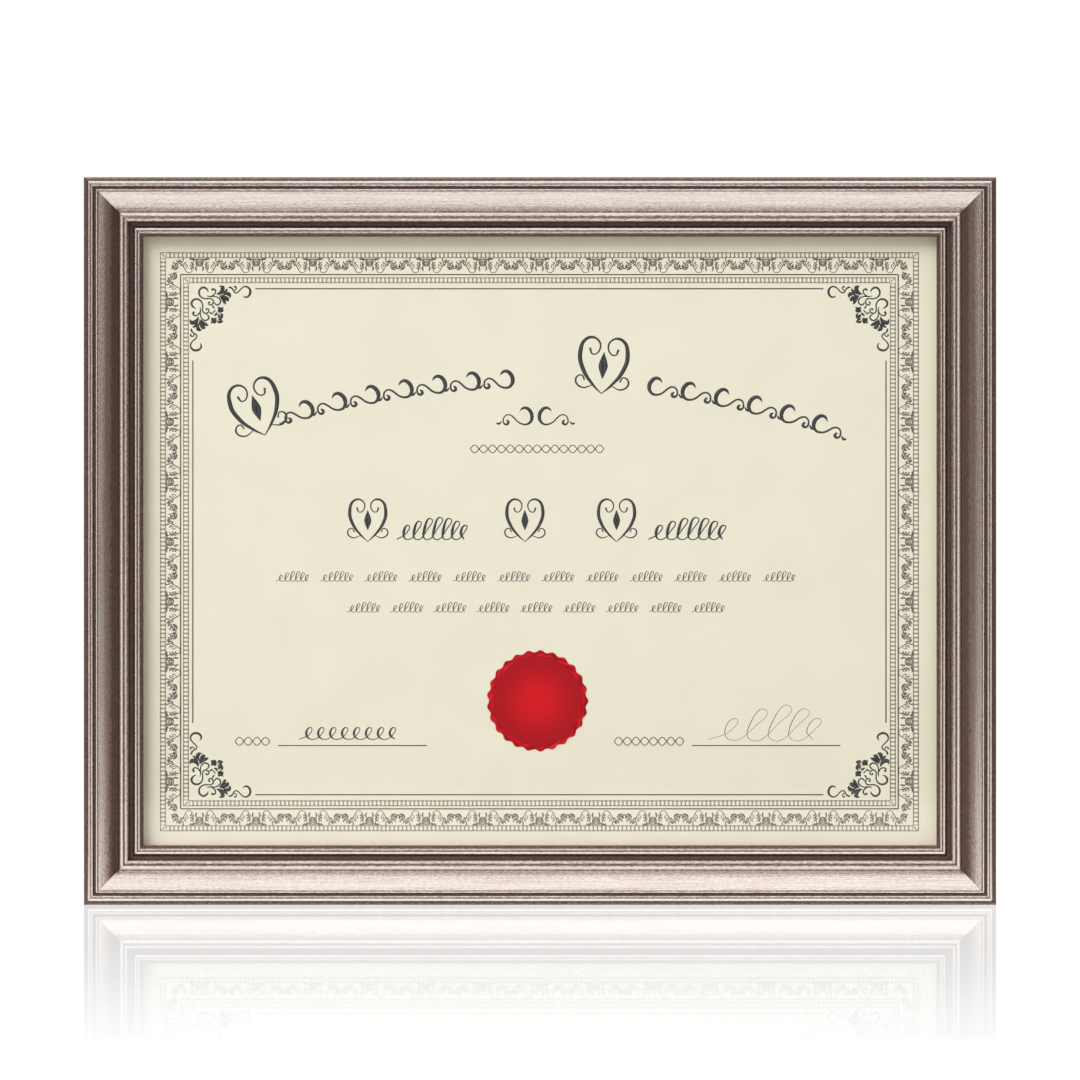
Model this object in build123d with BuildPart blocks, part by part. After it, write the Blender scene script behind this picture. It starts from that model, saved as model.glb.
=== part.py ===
"""A certificate frame: four mitred lengths of reeded wood moulding round a glazed certificate.

The frame stands on its bottom rail, with +Z up, +X to the viewer's right and its face towards -Y.
The origin is under the middle of the whole object, on the surface that it stands on. All lengths
are in millimetres and all angles in degrees. Behind the glass lie the certificate with its paper
seal, a filler card and a backing board, held by turn buttons. The board carries a stand leg on a
pressed hinge, and the rails carry two sawtooth hangers and two felt bumpers.
"""

from build123d import *
from math import cos, radians, sin
import os

# The certificate and what lies in the rabbet with it
sheet_width = 279.4
sheet_height = 215.9
sheet_thickness = 0.3
sheet_clearance = 0.8
board_clearance = 0.5
board_thickness = 3.0
filler_thickness = 1.2
seal_room = 0.4
glass_thickness = 2.0
glass_clearance = 0.5
glass_arris = 0.3

# The moulding, member by member from the outer edge to the sight edge
rabbet_width = 4.0
edge_round_width = 1.3
outer_reed_width = 1.0
second_reed_width = 0.95
quirk_width = 0.8
fillet_width = 0.7
ovolo_quirk_width = 0.3
ovolo_width = 6.8
wide_reed_width = 1.65
middle_reed_width = 1.75
scoop_wall_width = 0.25
scoop_width = 1.65
sight_reed_width = 1.1
inner_reed_width = 1.1
sight_round_width = 1.0

# Heights of the same members above the back of the frame
moulding_depth = 18.8
outer_reed_rise = 0.42
edge_round_rise = 1.5
second_reed_drop = 0.35
quirk_rise = 0.1
ovolo_start_drop = 0.35
ovolo_drop = 5.0
wide_reed_lift = 0.55
middle_reed_drop = 0.75
scoop_wall_drop = 2.1
inner_reed_drop = 0.45
sight_round_drop = 1.3

# How far each curved member bulges from its own chord
edge_round_bulge = 0.36
second_reed_bulge = 0.34
quirk_hollow = 0.42
fillet_bulge = 0.16
ovolo_bulge = 0.85
wide_reed_bulge = 0.56
middle_reed_bulge = 0.46
scoop_hollow = 0.6
sight_reed_bulge = 0.36
inner_reed_bulge = 0.34
sight_round_bulge = 0.26

# The seal stuck on the certificate
seal_diameter = 35.0
seal_scallops = 25
scallop_depth = 0.8
scallop_facets = 4
seal_thickness = 0.25
seal_disc_diameter = 31.2
seal_disc_rise = 0.1
seal_shift = -0.85
seal_height_share = 0.28

# Corner wedges, driven from the back across each mitre
wedge_leg = 6.0
wedge_thickness = 0.6
wedge_depth = 8.0
wedge_flare = 1.2
outer_wedge_share = 0.22
inner_wedge_share = 0.50

# Turn buttons and their screws
button_reach = 14.0
button_tail = 4.0
button_width = 8.0
button_thickness = 0.8
button_gap = 0.1
button_tip_length = 2.6
button_tip_lift = 1.2
button_rib_length = 8.0
button_rib_width = 2.6
button_rib_height = 0.35
button_rib_start = 3.8
button_hole_clearance = 0.08
screw_shank_radius = 1.3
screw_length = 10.0
screw_head_radius = 2.8
screw_head_height = 1.5
screw_head_gap = 0.1
screw_slot_width = 0.7
screw_slot_depth = 0.7
screw_slot_length = 3.6
rail_button_spread_share = 0.56
stile_button_spread_share = 0.56

# Sawtooth hangers and their nails
hanger_length = 44.0
hanger_height = 9.0
hanger_thickness = 0.7
hanger_stand_off = 1.5
hanger_pad_length = 8.0
hanger_ramp_length = 2.5
hanger_teeth = 12
tooth_depth = 1.3
hanger_corner_radius = 1.5
nail_shank_radius = 0.7
nail_head_radius = 1.7
nail_head_height = 0.5
nail_length = 9.0

# Felt bumpers
bumper_radius = 5.0
bumper_thickness = 1.8
bumper_edge_chamfer = 0.5
bumper_inset_share = 0.45

# What all the small fasteners share
stem_sides = 10
head_sides = 20
head_taper = 38.0

# The stand: a leg on a pressed hinge
leg_top_width = 42.0
leg_foot_width = 64.0
leg_thickness = 2.5
leg_foot_lift = 5.0
leg_corner_radius = 4.0
leg_edge_chamfer = 0.4
hinge_height_share = 0.785
leaf_width = 38.0
leaf_length = 18.0
leaf_thickness = 0.8
leaf_corner_radius = 3.0
hinge_pin_radius = 1.0
hinge_bore_clearance = 0.05
knuckle_stand_off = 0.3
knuckle_side_gap = 0.3
knuckle_turn_clearance = 0.5
middle_knuckle_width = 14.4
stop_angle = 25.0
stop_width = 8.0
stop_length = 4.6
stop_root_share = 0.6
stop_clearance = 0.1
rivet_radius = 1.25
rivet_head_radius = 2.2
rivet_head_height = 0.7
rivet_spread = 24.0
rivet_offset = 11.5

overrun = 1.0

# Derived sizes of the stack behind the lip, of the moulding and of the whole frame
sheet_level = board_thickness + filler_thickness
seal_level = sheet_level + sheet_thickness
glass_level = seal_level + seal_room
rabbet_depth = glass_level + glass_thickness
rabbet_opening_width = sheet_width + 2 * sheet_clearance
rabbet_opening_height = sheet_height + 2 * sheet_clearance
board_width = rabbet_opening_width - 2 * board_clearance
board_height = rabbet_opening_height - 2 * board_clearance
glass_width = rabbet_opening_width - 2 * glass_clearance
glass_height = rabbet_opening_height - 2 * glass_clearance
sight_width = rabbet_opening_width - 2 * rabbet_width
sight_height = rabbet_opening_height - 2 * rabbet_width
face_width = (
    edge_round_width + outer_reed_width + second_reed_width + quirk_width + fillet_width
    + ovolo_quirk_width + ovolo_width + wide_reed_width + middle_reed_width
    + scoop_wall_width + scoop_width + sight_reed_width + inner_reed_width + sight_round_width
)
land_width = face_width - rabbet_width
outer_width = sight_width + 2 * face_width
outer_height = sight_height + 2 * face_width
middle_height = outer_height / 2

# Derived sizes of the hinge
knuckle_bore_radius = hinge_pin_radius + hinge_bore_clearance
knuckle_radius = knuckle_bore_radius + leaf_thickness
hinge_axis_setback = knuckle_stand_off + knuckle_radius
hinge_height = outer_height * hinge_height_share
leg_rear_setback = hinge_axis_setback + knuckle_bore_radius
leaf_rear_setback = leg_rear_setback + leaf_thickness
rear_projection = leaf_rear_setback + rivet_head_height
back_y = (moulding_depth - rear_projection) / 2

# The plane of the rails' backs: its x is +X, its y is +Z, and its normal points at the viewer
back = Plane(origin=(0, back_y, 0), x_dir=(1, 0, 0), z_dir=(0, -1, 0))


def behind(x, z, inward):
    """A plane on the back of the frame at (x, z), facing the wall, with its x along inward."""
    return Plane(origin=(x, back_y, z), x_dir=inward, z_dir=(0, 1, 0))


def moulding_outline():
    """The closed section of one rail: x runs from the outer edge inwards, y from back to front."""
    reed_foot = moulding_depth - outer_reed_rise
    side_top = reed_foot - edge_round_rise
    outline = Line((0, 0), (0, side_top))
    members = [
        (edge_round_width, edge_round_rise, edge_round_bulge),
        (outer_reed_width, 0, outer_reed_rise),
        (second_reed_width, -second_reed_drop, second_reed_bulge),
        (quirk_width, quirk_rise, -quirk_hollow),
        (fillet_width, 0, fillet_bulge),
        (ovolo_quirk_width, -ovolo_start_drop, 0),
        (ovolo_width, -ovolo_drop, ovolo_bulge),
        (wide_reed_width, wide_reed_lift, wide_reed_bulge),
        (middle_reed_width, -middle_reed_drop, middle_reed_bulge),
        (scoop_wall_width, -scoop_wall_drop, 0),
        (scoop_width, 0, -scoop_hollow),
        (sight_reed_width, 0, sight_reed_bulge),
        (inner_reed_width, -inner_reed_drop, inner_reed_bulge),
        (sight_round_width, -sight_round_drop, sight_round_bulge),
    ]
    end = outline @ 1
    for width, rise, bulge in members:
        start = end
        end = start + Vector(width, rise)
        if bulge:
            SagittaArc(start, end, bulge)
        else:
            Line(start, end)
    Polyline(end, (face_width, rabbet_depth), (land_width, rabbet_depth), (land_width, 0), (0, 0))


def mitred_rail(label, length, middle, inward, along):
    """One rail, cut at 45 degrees at both ends, with a seat for each fastener driven into it.

    middle is the middle of its outer edge on the back; the section is drawn with x inwards.
    """
    outer_edge = Plane(origin=middle, x_dir=inward, z_dir=along)
    plan = Plane(origin=middle, x_dir=along, z_dir=outer_edge.y_dir)
    with BuildPart() as rail:
        with BuildSketch(outer_edge):
            with BuildLine():
                moulding_outline()
            make_face()
        extrude(amount=length / 2, both=True)
        with BuildSketch(plan.offset(-overrun)):
            with BuildLine():
                Polyline(
                    (-length / 2, 0),
                    (length / 2, 0),
                    (length / 2 - face_width, face_width),
                    (face_width - length / 2, face_width),
                    close=True,
                )
            make_face()
        extrude(amount=moulding_depth + 2 * overrun, mode=Mode.INTERSECT)
        for driven in (corner_wedges.part, turn_button_screws.part, hanger_nails.part):
            add(driven, mode=Mode.SUBTRACT)
    rail.part.label = label
    return rail.part


def fastener(stem_radius, stem_length, head_radius, head_height, base):
    """A fastener on the z axis, with the flat underside of its tapered head at z = base."""
    with BuildPart() as made:
        with BuildSketch(Plane.XY.offset(base - stem_length)):
            RegularPolygon(stem_radius, stem_sides)
        extrude(amount=stem_length)
        with BuildSketch(Plane.XY.offset(base)):
            RegularPolygon(head_radius, head_sides)
        extrude(amount=head_height, taper=head_taper)
    return made.part


# Places on the back of the frame: everything on a rail sits on the middle line of its back
pivot_inset = land_width / 2
bottom_line = pivot_inset
top_line = outer_height - pivot_inset
left_line = pivot_inset - outer_width / 2
right_line = outer_width / 2 - pivot_inset
rail_button_x = outer_width * rail_button_spread_share / 2
upper_button_z = middle_height + outer_height * stile_button_spread_share / 2
lower_button_z = middle_height - outer_height * stile_button_spread_share / 2
button_places = {
    "turn_button_top_left": behind(-rail_button_x, top_line, (0, 0, -1)),
    "turn_button_top_right": behind(rail_button_x, top_line, (0, 0, -1)),
    "turn_button_bottom_left": behind(-rail_button_x, bottom_line, (0, 0, 1)),
    "turn_button_bottom_right": behind(rail_button_x, bottom_line, (0, 0, 1)),
    "turn_button_left_upper": behind(left_line, upper_button_z, (1, 0, 0)),
    "turn_button_left_lower": behind(left_line, lower_button_z, (1, 0, 0)),
    "turn_button_right_upper": behind(right_line, upper_button_z, (-1, 0, 0)),
    "turn_button_right_lower": behind(right_line, lower_button_z, (-1, 0, 0)),
}
top_hanger_place = behind(0, top_line, (1, 0, 0))
side_hanger_place = behind(left_line, middle_height, (0, 0, 1))
hanger_nail_x = (hanger_length - hanger_pad_length) / 2

# Corner wedges: steel strips bent to a right angle, one leg in each rail. Each corner has a plane
# on the back of the frame whose two axes run inwards along the two rails that meet there.
corners = [
    Plane(origin=(-outer_width / 2, back_y, 0), x_dir=(1, 0, 0), z_dir=(0, -1, 0)),
    Plane(origin=(outer_width / 2, back_y, 0), x_dir=(0, 0, 1), z_dir=(0, -1, 0)),
    Plane(origin=(outer_width / 2, back_y, outer_height), x_dir=(-1, 0, 0), z_dir=(0, -1, 0)),
    Plane(origin=(-outer_width / 2, back_y, outer_height), x_dir=(0, 0, -1), z_dir=(0, -1, 0)),
]
wedge_apexes = (land_width * outer_wedge_share, land_width * inner_wedge_share)
with BuildPart() as corner_wedges:
    for corner in corners:
        for apex in wedge_apexes:
            with BuildSketch(corner):
                with BuildLine():
                    Polyline(
                        (apex + wedge_leg, apex - wedge_flare),
                        (apex + wedge_leg - wedge_flare, apex),
                        (apex, apex),
                        (apex, apex + wedge_leg - wedge_flare),
                        (apex - wedge_flare, apex + wedge_leg),
                    )
                trace(line_width=wedge_thickness)
            extrude(amount=wedge_depth)
corner_wedges.part.label = "corner_wedges"

# Screws of the turn buttons
screw_head_base = button_gap + button_thickness + button_rib_height + screw_head_gap
plain_screw = fastener(
    screw_shank_radius, screw_length, screw_head_radius, screw_head_height, screw_head_base
)
with BuildPart() as slotted_screw:
    add(plain_screw)
    with BuildSketch(Plane.XY.offset(screw_head_base + screw_head_height)):
        Rectangle(screw_slot_length, screw_slot_width)
        Rectangle(screw_slot_width, screw_slot_length)
    extrude(amount=-screw_slot_depth, mode=Mode.SUBTRACT)
with BuildPart() as turn_button_screws:
    for place in button_places.values():
        with Locations(place.location):
            add(slotted_screw.part)
turn_button_screws.part.label = "turn_button_screws"

# Nails of the hangers
nail = fastener(nail_shank_radius, nail_length, nail_head_radius, nail_head_height, hanger_thickness)
with BuildPart() as hanger_nails:
    for place in (top_hanger_place, side_hanger_place):
        with Locations(place.location):
            with Locations((-hanger_nail_x, 0), (hanger_nail_x, 0)):
                add(nail)
hanger_nails.part.label = "hanger_nails"

# The four rails: outward edge, direction inwards across the face, direction along the rail
bottom_rail = mitred_rail("bottom_rail", outer_width, (0, back_y, 0), (0, 0, 1), (1, 0, 0))
top_rail = mitred_rail("top_rail", outer_width, (0, back_y, outer_height), (0, 0, -1), (-1, 0, 0))
left_rail = mitred_rail(
    "left_rail", outer_height, (-outer_width / 2, back_y, middle_height), (1, 0, 0), (0, 0, -1)
)
right_rail = mitred_rail(
    "right_rail", outer_height, (outer_width / 2, back_y, middle_height), (-1, 0, 0), (0, 0, 1)
)


def rivet_pair(label, z, grip, head_base):
    """Two rivets side by side at height z, through as much material as grip, heads to the wall."""
    rivet = fastener(rivet_radius, grip, rivet_head_radius, rivet_head_height, head_base)
    with BuildPart() as rivets:
        with Locations(behind(0, z, (1, 0, 0)).location):
            with Locations((-rivet_spread / 2, 0), (rivet_spread / 2, 0)):
                add(rivet)
    rivets.part.label = label
    return rivets.part


# Rivets of the stand's hinge: through the fixed leaf and board, and the moving leaf and leg
stand_board_rivets = rivet_pair(
    "stand_board_rivets", hinge_height + rivet_offset, leaf_thickness + board_thickness, leaf_thickness
)
stand_leg_rivets = rivet_pair(
    "stand_leg_rivets", hinge_height - rivet_offset, leaf_thickness + leg_thickness, leaf_rear_setback
)

# The backing board, flush with the back of the rails
with BuildPart() as backing_board:
    with BuildSketch(back):
        with Locations((0, middle_height)):
            Rectangle(board_width, board_height)
    extrude(amount=board_thickness)
    add(stand_board_rivets, mode=Mode.SUBTRACT)
backing_board.part.label = "backing_board"

# The filler card that presses the certificate forward
with BuildPart() as filler_card:
    with BuildSketch(back.offset(board_thickness)):
        with Locations((0, middle_height)):
            Rectangle(board_width, board_height)
    extrude(amount=filler_thickness)
filler_card.part.label = "filler_card"

# The certificate, on one sheet of heavy paper
with BuildPart() as certificate_sheet:
    with BuildSketch(back.offset(sheet_level)):
        with Locations((0, middle_height)):
            Rectangle(sheet_width, sheet_height)
    extrude(amount=sheet_thickness)
certificate_sheet.part.label = "certificate_sheet"

# The scalloped paper seal, with a raised middle
seal_height = outer_height * seal_height_share
seal_place = (seal_shift, back_y - seal_level, seal_height)
seal_face = Plane(origin=seal_place, x_dir=(1, 0, 0), z_dir=(0, -1, 0))


def rim_point(step):
    """A point of the seal's wavy edge, this many facets round from its right-hand side."""
    scallops_round = step / scallop_facets
    wave = (1 - cos(radians(360 * scallops_round))) / 2
    radius = seal_diameter / 2 - scallop_depth * wave
    angle = radians(360 * scallops_round / seal_scallops)
    return (radius * cos(angle), radius * sin(angle))


with BuildPart() as seal:
    with BuildSketch(seal_face):
        with BuildLine():
            Polyline([rim_point(step) for step in range(seal_scallops * scallop_facets)], close=True)
        make_face()
    extrude(amount=seal_thickness)
    with BuildSketch(seal_face.offset(seal_thickness)):
        Circle(seal_disc_diameter / 2)
    extrude(amount=seal_disc_rise)
seal.part.label = "seal"

# The glass, behind the lip of the rails
with BuildPart() as glazing:
    with BuildSketch(back.offset(glass_level)):
        with Locations((0, middle_height)):
            Rectangle(glass_width, glass_height)
    extrude(amount=glass_thickness)
    chamfer(glazing.edges().filter_by(Axis.Y, reverse=True), length=glass_arris)
glazing.part.label = "glazing"


def turn_button(label, place):
    """A pressed steel tab that turns on its screw: flat tail, a rib along it and a lifted tip."""
    bottom = button_gap
    top = button_gap + button_thickness
    bend = button_reach - button_tip_length
    with BuildPart() as button:
        with BuildSketch(Plane(origin=place.origin, x_dir=place.x_dir, z_dir=-place.y_dir)):
            with BuildLine():
                Polyline(
                    (-button_tail, bottom),
                    (bend, bottom),
                    (button_reach, bottom + button_tip_lift),
                    (button_reach, top + button_tip_lift),
                    (bend, top),
                    (-button_tail, top),
                    close=True,
                )
            make_face()
        extrude(amount=button_width / 2, both=True)
        with BuildSketch(place):
            with Locations(((button_reach - button_tail) / 2, 0)):
                SlotOverall(button_reach + button_tail, button_width)
        extrude(amount=rear_projection, mode=Mode.INTERSECT)
        with BuildSketch(place.offset(top)):
            with Locations((button_rib_start + button_rib_length / 2, 0)):
                Rectangle(button_rib_length, button_rib_width)
        extrude(amount=button_rib_height)
        with Locations(place.offset(bottom).location):
            Cylinder(
                screw_shank_radius + button_hole_clearance,
                2 * button_thickness + 2 * button_rib_height,
                mode=Mode.SUBTRACT,
            )
    button.part.label = label
    return button.part


turn_buttons = [turn_button(label, place) for label, place in button_places.items()]


def sawtooth_hanger(label, place):
    """A bridged steel strip, nailed down at both ends, with teeth along the edge at +y of its place."""
    inner_end = hanger_length / 2 - hanger_pad_length
    bridge_end = inner_end - hanger_ramp_length
    tooth_pitch = 2 * bridge_end / hanger_teeth
    with BuildPart() as hanger:
        with BuildSketch(Plane(origin=place.origin, x_dir=place.x_dir, z_dir=-place.y_dir)):
            with BuildLine():
                Polyline(
                    (0, hanger_stand_off + hanger_thickness),
                    (bridge_end, hanger_stand_off + hanger_thickness),
                    (inner_end, hanger_thickness),
                    (hanger_length / 2, hanger_thickness),
                    (hanger_length / 2, 0),
                    (inner_end - hanger_thickness / 2, 0),
                    (bridge_end - hanger_thickness / 2, hanger_stand_off),
                    (0, hanger_stand_off),
                )
                mirror(about=Plane.YZ)
            make_face()
        extrude(amount=hanger_height / 2, both=True)
        fillet(hanger.edges().filter_by(Axis.Y), hanger_corner_radius)
        with BuildSketch(place):
            for i in range(hanger_teeth):
                left = i * tooth_pitch - bridge_end
                with BuildLine():
                    Polyline(
                        (left, hanger_height / 2),
                        (left + tooth_pitch / 2, hanger_height / 2 - tooth_depth),
                        (left + tooth_pitch, hanger_height / 2),
                        close=True,
                    )
                make_face()
        extrude(amount=rear_projection, mode=Mode.SUBTRACT)
        add(hanger_nails.part, mode=Mode.SUBTRACT)
    hanger.part.label = label
    return hanger.part


top_hanger = sawtooth_hanger("top_hanger", top_hanger_place)
side_hanger = sawtooth_hanger("side_hanger", side_hanger_place)

# Felt bumpers that keep the bottom rail off the wall
bumper_x = outer_width / 2 - land_width * bumper_inset_share - bumper_radius
with BuildPart() as wall_bumpers:
    with Locations(behind(0, bottom_line, (1, 0, 0)).location):
        with Locations((-bumper_x, 0), (bumper_x, 0)):
            Cylinder(bumper_radius, bumper_thickness, align=(Align.CENTER, Align.CENTER, Align.MIN))
    chamfer(wall_bumpers.edges().group_by(Axis.Y)[-1], bumper_edge_chamfer)
wall_bumpers.part.label = "wall_bumpers"

# The stand's hinge: section plane across the pin, x towards the wall and y up
hinge_section = Plane(
    origin=(0, back_y + hinge_axis_setback, hinge_height), x_dir=(0, 1, 0), z_dir=(1, 0, 0)
)
outer_knuckle_width = (leaf_width - middle_knuckle_width) / 2 - knuckle_side_gap
outer_knuckle_x = (leaf_width - outer_knuckle_width) / 2
leaf_shoulder = knuckle_radius + knuckle_turn_clearance
stop_front = leaf_thickness + stop_clearance - hinge_axis_setback

with BuildPart() as stand_board_leaf:
    with BuildSketch(back):
        with Locations((0, hinge_height + leaf_shoulder)):
            Rectangle(leaf_width, leaf_length - leaf_shoulder, align=(Align.CENTER, Align.MIN))
        with Locations((-outer_knuckle_x, hinge_height), (outer_knuckle_x, hinge_height)):
            Rectangle(outer_knuckle_width, leaf_shoulder, align=(Align.CENTER, Align.MIN))
    extrude(amount=-leaf_thickness)
    fillet(stand_board_leaf.edges().filter_by(Axis.Y).group_by(Axis.Z)[-1], leaf_corner_radius)
    for side in (-1, 1):
        with BuildSketch(hinge_section.offset(side * outer_knuckle_x)):
            Circle(knuckle_radius)
        extrude(amount=outer_knuckle_width / 2, both=True)
    with BuildSketch(hinge_section):
        Circle(knuckle_bore_radius)
    extrude(amount=leaf_width, both=True, mode=Mode.SUBTRACT)
    add(stand_board_rivets, mode=Mode.SUBTRACT)
stand_board_leaf.part.label = "stand_board_leaf"

with BuildPart() as stand_leg_leaf:
    with BuildSketch(back.offset(-leg_rear_setback)):
        with Locations((0, hinge_height - leaf_shoulder)):
            Rectangle(leaf_width, leaf_length - leaf_shoulder, align=(Align.CENTER, Align.MAX))
        with Locations((0, hinge_height)):
            Rectangle(middle_knuckle_width, leaf_shoulder, align=(Align.CENTER, Align.MAX))
    extrude(amount=-leaf_thickness)
    fillet(stand_leg_leaf.edges().filter_by(Axis.Y).group_by(Axis.Z)[0], leaf_corner_radius)
    with BuildSketch(hinge_section):
        Circle(knuckle_radius)
    extrude(amount=middle_knuckle_width / 2, both=True)
    with BuildSketch(hinge_section.rotated((-stop_angle, 0, 0))):
        with Locations((stop_front, knuckle_radius * stop_root_share)):
            Rectangle(leaf_thickness, stop_length, align=(Align.MIN, Align.MIN))
    extrude(amount=stop_width / 2, both=True)
    with BuildSketch(hinge_section):
        Circle(knuckle_bore_radius)
    extrude(amount=leaf_width, both=True, mode=Mode.SUBTRACT)
    add(stand_leg_rivets, mode=Mode.SUBTRACT)
stand_leg_leaf.part.label = "stand_leg_leaf"

with BuildPart() as stand_pin:
    with BuildSketch(hinge_section):
        Circle(hinge_pin_radius)
    extrude(amount=leaf_width / 2, both=True)
stand_pin.part.label = "stand_pin"

# The stand's leg
leg_top_z = hinge_height - leaf_shoulder
with BuildPart() as stand_leg:
    with BuildSketch(back.offset(-leg_rear_setback)):
        with BuildLine():
            Polyline(
                (-leg_foot_width / 2, leg_foot_lift),
                (leg_foot_width / 2, leg_foot_lift),
                (leg_top_width / 2, leg_top_z),
                (-leg_top_width / 2, leg_top_z),
                close=True,
            )
        make_face()
    extrude(amount=leg_thickness)
    fillet(stand_leg.edges().filter_by(Axis.Y), leg_corner_radius)
    chamfer(stand_leg.faces().sort_by(Axis.Y)[-1].edges(), leg_edge_chamfer)
    add(stand_leg_rivets, mode=Mode.SUBTRACT)
stand_leg.part.label = "stand_leg"

# Write one file for each piece
os.makedirs("parts", exist_ok=True)
pieces = [
    bottom_rail,
    top_rail,
    left_rail,
    right_rail,
    corner_wedges.part,
    turn_button_screws.part,
    hanger_nails.part,
    stand_board_rivets,
    stand_leg_rivets,
    backing_board.part,
    filler_card.part,
    certificate_sheet.part,
    seal.part,
    glazing.part,
    *turn_buttons,
    top_hanger,
    side_hanger,
    wall_bumpers.part,
    stand_board_leaf.part,
    stand_leg_leaf.part,
    stand_pin.part,
    stand_leg.part,
]
for piece in pieces:
    export_step(piece, f"parts/{piece.label}.step")
print("outer", outer_width, outer_height, "sight", sight_width, sight_height, "face", face_width)
print("back at y", back_y, "hinge axis at y", back_y + hinge_axis_setback, "z", hinge_height)
print("turn buttons at x", rail_button_x, right_line, "z", bottom_line, lower_button_z, upper_button_z)
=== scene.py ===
# %% [markdown]
# # A certificate frame in Blender
#
# The object is a small desk or wall frame: four mitred lengths of reeded wood moulding in a brushed
# pewter foil, a sheet of glass, and a certificate with a printed border and a red seal. On its back
# are a board, eight turn buttons, two hangers and a folding stand leg.
#
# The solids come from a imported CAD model, which is loaded first. It fixes every size and place. Here
# each visible piece gets its finish, and the pieces whose detail the solids leave out are modelled
# again, more finely, in the very same place.

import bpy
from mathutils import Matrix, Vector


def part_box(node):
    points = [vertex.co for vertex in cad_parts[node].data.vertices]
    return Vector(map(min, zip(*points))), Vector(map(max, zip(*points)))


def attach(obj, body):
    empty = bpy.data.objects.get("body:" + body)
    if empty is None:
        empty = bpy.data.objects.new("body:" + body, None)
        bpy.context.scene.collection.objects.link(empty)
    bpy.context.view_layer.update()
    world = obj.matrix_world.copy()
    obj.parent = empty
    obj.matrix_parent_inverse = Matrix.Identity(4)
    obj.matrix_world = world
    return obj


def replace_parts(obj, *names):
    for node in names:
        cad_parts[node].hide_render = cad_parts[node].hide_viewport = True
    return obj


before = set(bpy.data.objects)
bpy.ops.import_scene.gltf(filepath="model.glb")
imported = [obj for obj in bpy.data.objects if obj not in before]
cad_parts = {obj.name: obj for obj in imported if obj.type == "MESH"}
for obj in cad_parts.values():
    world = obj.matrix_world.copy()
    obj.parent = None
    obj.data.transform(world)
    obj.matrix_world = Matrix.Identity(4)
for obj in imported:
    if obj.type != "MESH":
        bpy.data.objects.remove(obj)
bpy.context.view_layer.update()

# %% [markdown]
# ## Units and places
#
# Blender works in metres. Small things are easier to think of in millimetres, so a length is written
# as a number times `MM`. The places that many pieces share are read from the solids' boxes, never
# typed in, so that everything meets where the CAD says.

# %% Units and shared places
from math import asin, atan2, cos, degrees, pi, radians, sin

import bmesh
import bpy
from mathutils import Matrix, Vector

MM = 0.001
outer_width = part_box("bottom_rail")[1].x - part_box("bottom_rail")[0].x
outer_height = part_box("top_rail")[1].z
middle_height = outer_height / 2
back_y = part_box("bottom_rail")[1].y
face_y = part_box("bottom_rail")[0].y
sheet_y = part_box("certificate_sheet")[0].y
print(f"outer {outer_width / MM:.1f} x {outer_height / MM:.1f} mm, face at y {face_y / MM:.2f} mm")

# %% [markdown]
# ## Helpers for meshes
#
# Shapes are made with bmesh, Blender's mesh editor for scripts. Its operators hand back mixed lists of
# points, edges and faces, and they need to know how near two points may lie before they count as one.

# %% Helpers for meshes
weld = 1e-7


def only(kind, geom):
    """The members of one kind, such as the edges, in what an operator hands back."""
    return [part for part in geom if isinstance(part, kind)]


def sliced(body, point, outwards, capped=True):
    """Cuts a bmesh by a plane. Where it is capped, the outer part goes and the cut is closed."""
    cut = bmesh.ops.bisect_plane(
        body, geom=body.verts[:] + body.edges[:] + body.faces[:], dist=weld,
        plane_co=point, plane_no=outwards, clear_outer=capped,
    )["geom_cut"]
    if capped:
        bmesh.ops.contextual_create(body, geom=only(bmesh.types.BMEdge, cut))


def as_mesh(body, name):
    """Turns a finished bmesh into mesh data."""
    mesh = bpy.data.meshes.new(name)
    body.to_mesh(mesh)
    body.free()
    return mesh


def linked(name, data):
    """An object with that data, placed in the scene."""
    made = bpy.data.objects.new(name, data)
    bpy.context.scene.collection.objects.link(made)
    return made


print("points nearer than", weld, "m count as one")

# %% [markdown]
# ## The camera
#
# The photograph looks straight at the middle of the frame, with no visible perspective, so the
# camera stands level with the frame's middle and far away, behind a long lens. The distance follows
# from the lens and from how wide a strip of the world the picture shows at the frame's face.

# %% The camera
picture_pixels = 1080
pixel = 0.3437 * MM
frame_middle_row = 541
lens_length = 600.0
sensor_width = 36.0
camera_distance = picture_pixels * pixel * lens_length / sensor_width
camera_lift = (frame_middle_row - picture_pixels / 2) * pixel

camera_data = bpy.data.cameras.new("camera")
camera_data.lens = lens_length
camera_data.sensor_width = sensor_width
camera_data.clip_start = 0.05
camera_data.clip_end = 60.0
camera = linked("camera", camera_data)
camera.location = (0, face_y - camera_distance, middle_height + camera_lift)
camera.rotation_euler = (radians(90), 0, 0)
bpy.context.scene.camera = camera
bpy.context.scene.view_settings.view_transform = "Standard"
print(f"the camera stands {camera_distance:.2f} m in front of the face")

# %% [markdown]
# ## Helpers for materials
#
# Every finish is a small tree of nodes. A few helpers keep the trees short to write: `fill` gives a
# node's sockets their values or links, `put` adds a node and fills it, `new_finish` makes a material
# and hands back its tree and its Principled shader, and the others each add one kind of node.

# %% Helpers for materials
def fill(node, inputs):
    """Fills a node's sockets by name or number, with a value or with another socket."""
    for key, value in inputs.items():
        if isinstance(value, bpy.types.NodeSocket):
            node.id_data.links.new(value, node.inputs[key])
        else:
            node.inputs[key].default_value = value
    return node


def put(tree, kind, inputs=None, **settings):
    """Adds a node with these settings and fills its sockets."""
    node = tree.nodes.new(kind)
    for name, value in settings.items():
        setattr(node, name, value)
    return fill(node, inputs or {})


def spaced(values):
    """Python names as socket names: Base_Color is the socket Base Color."""
    return {key.replace("_", " "): value for key, value in values.items()}


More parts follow.
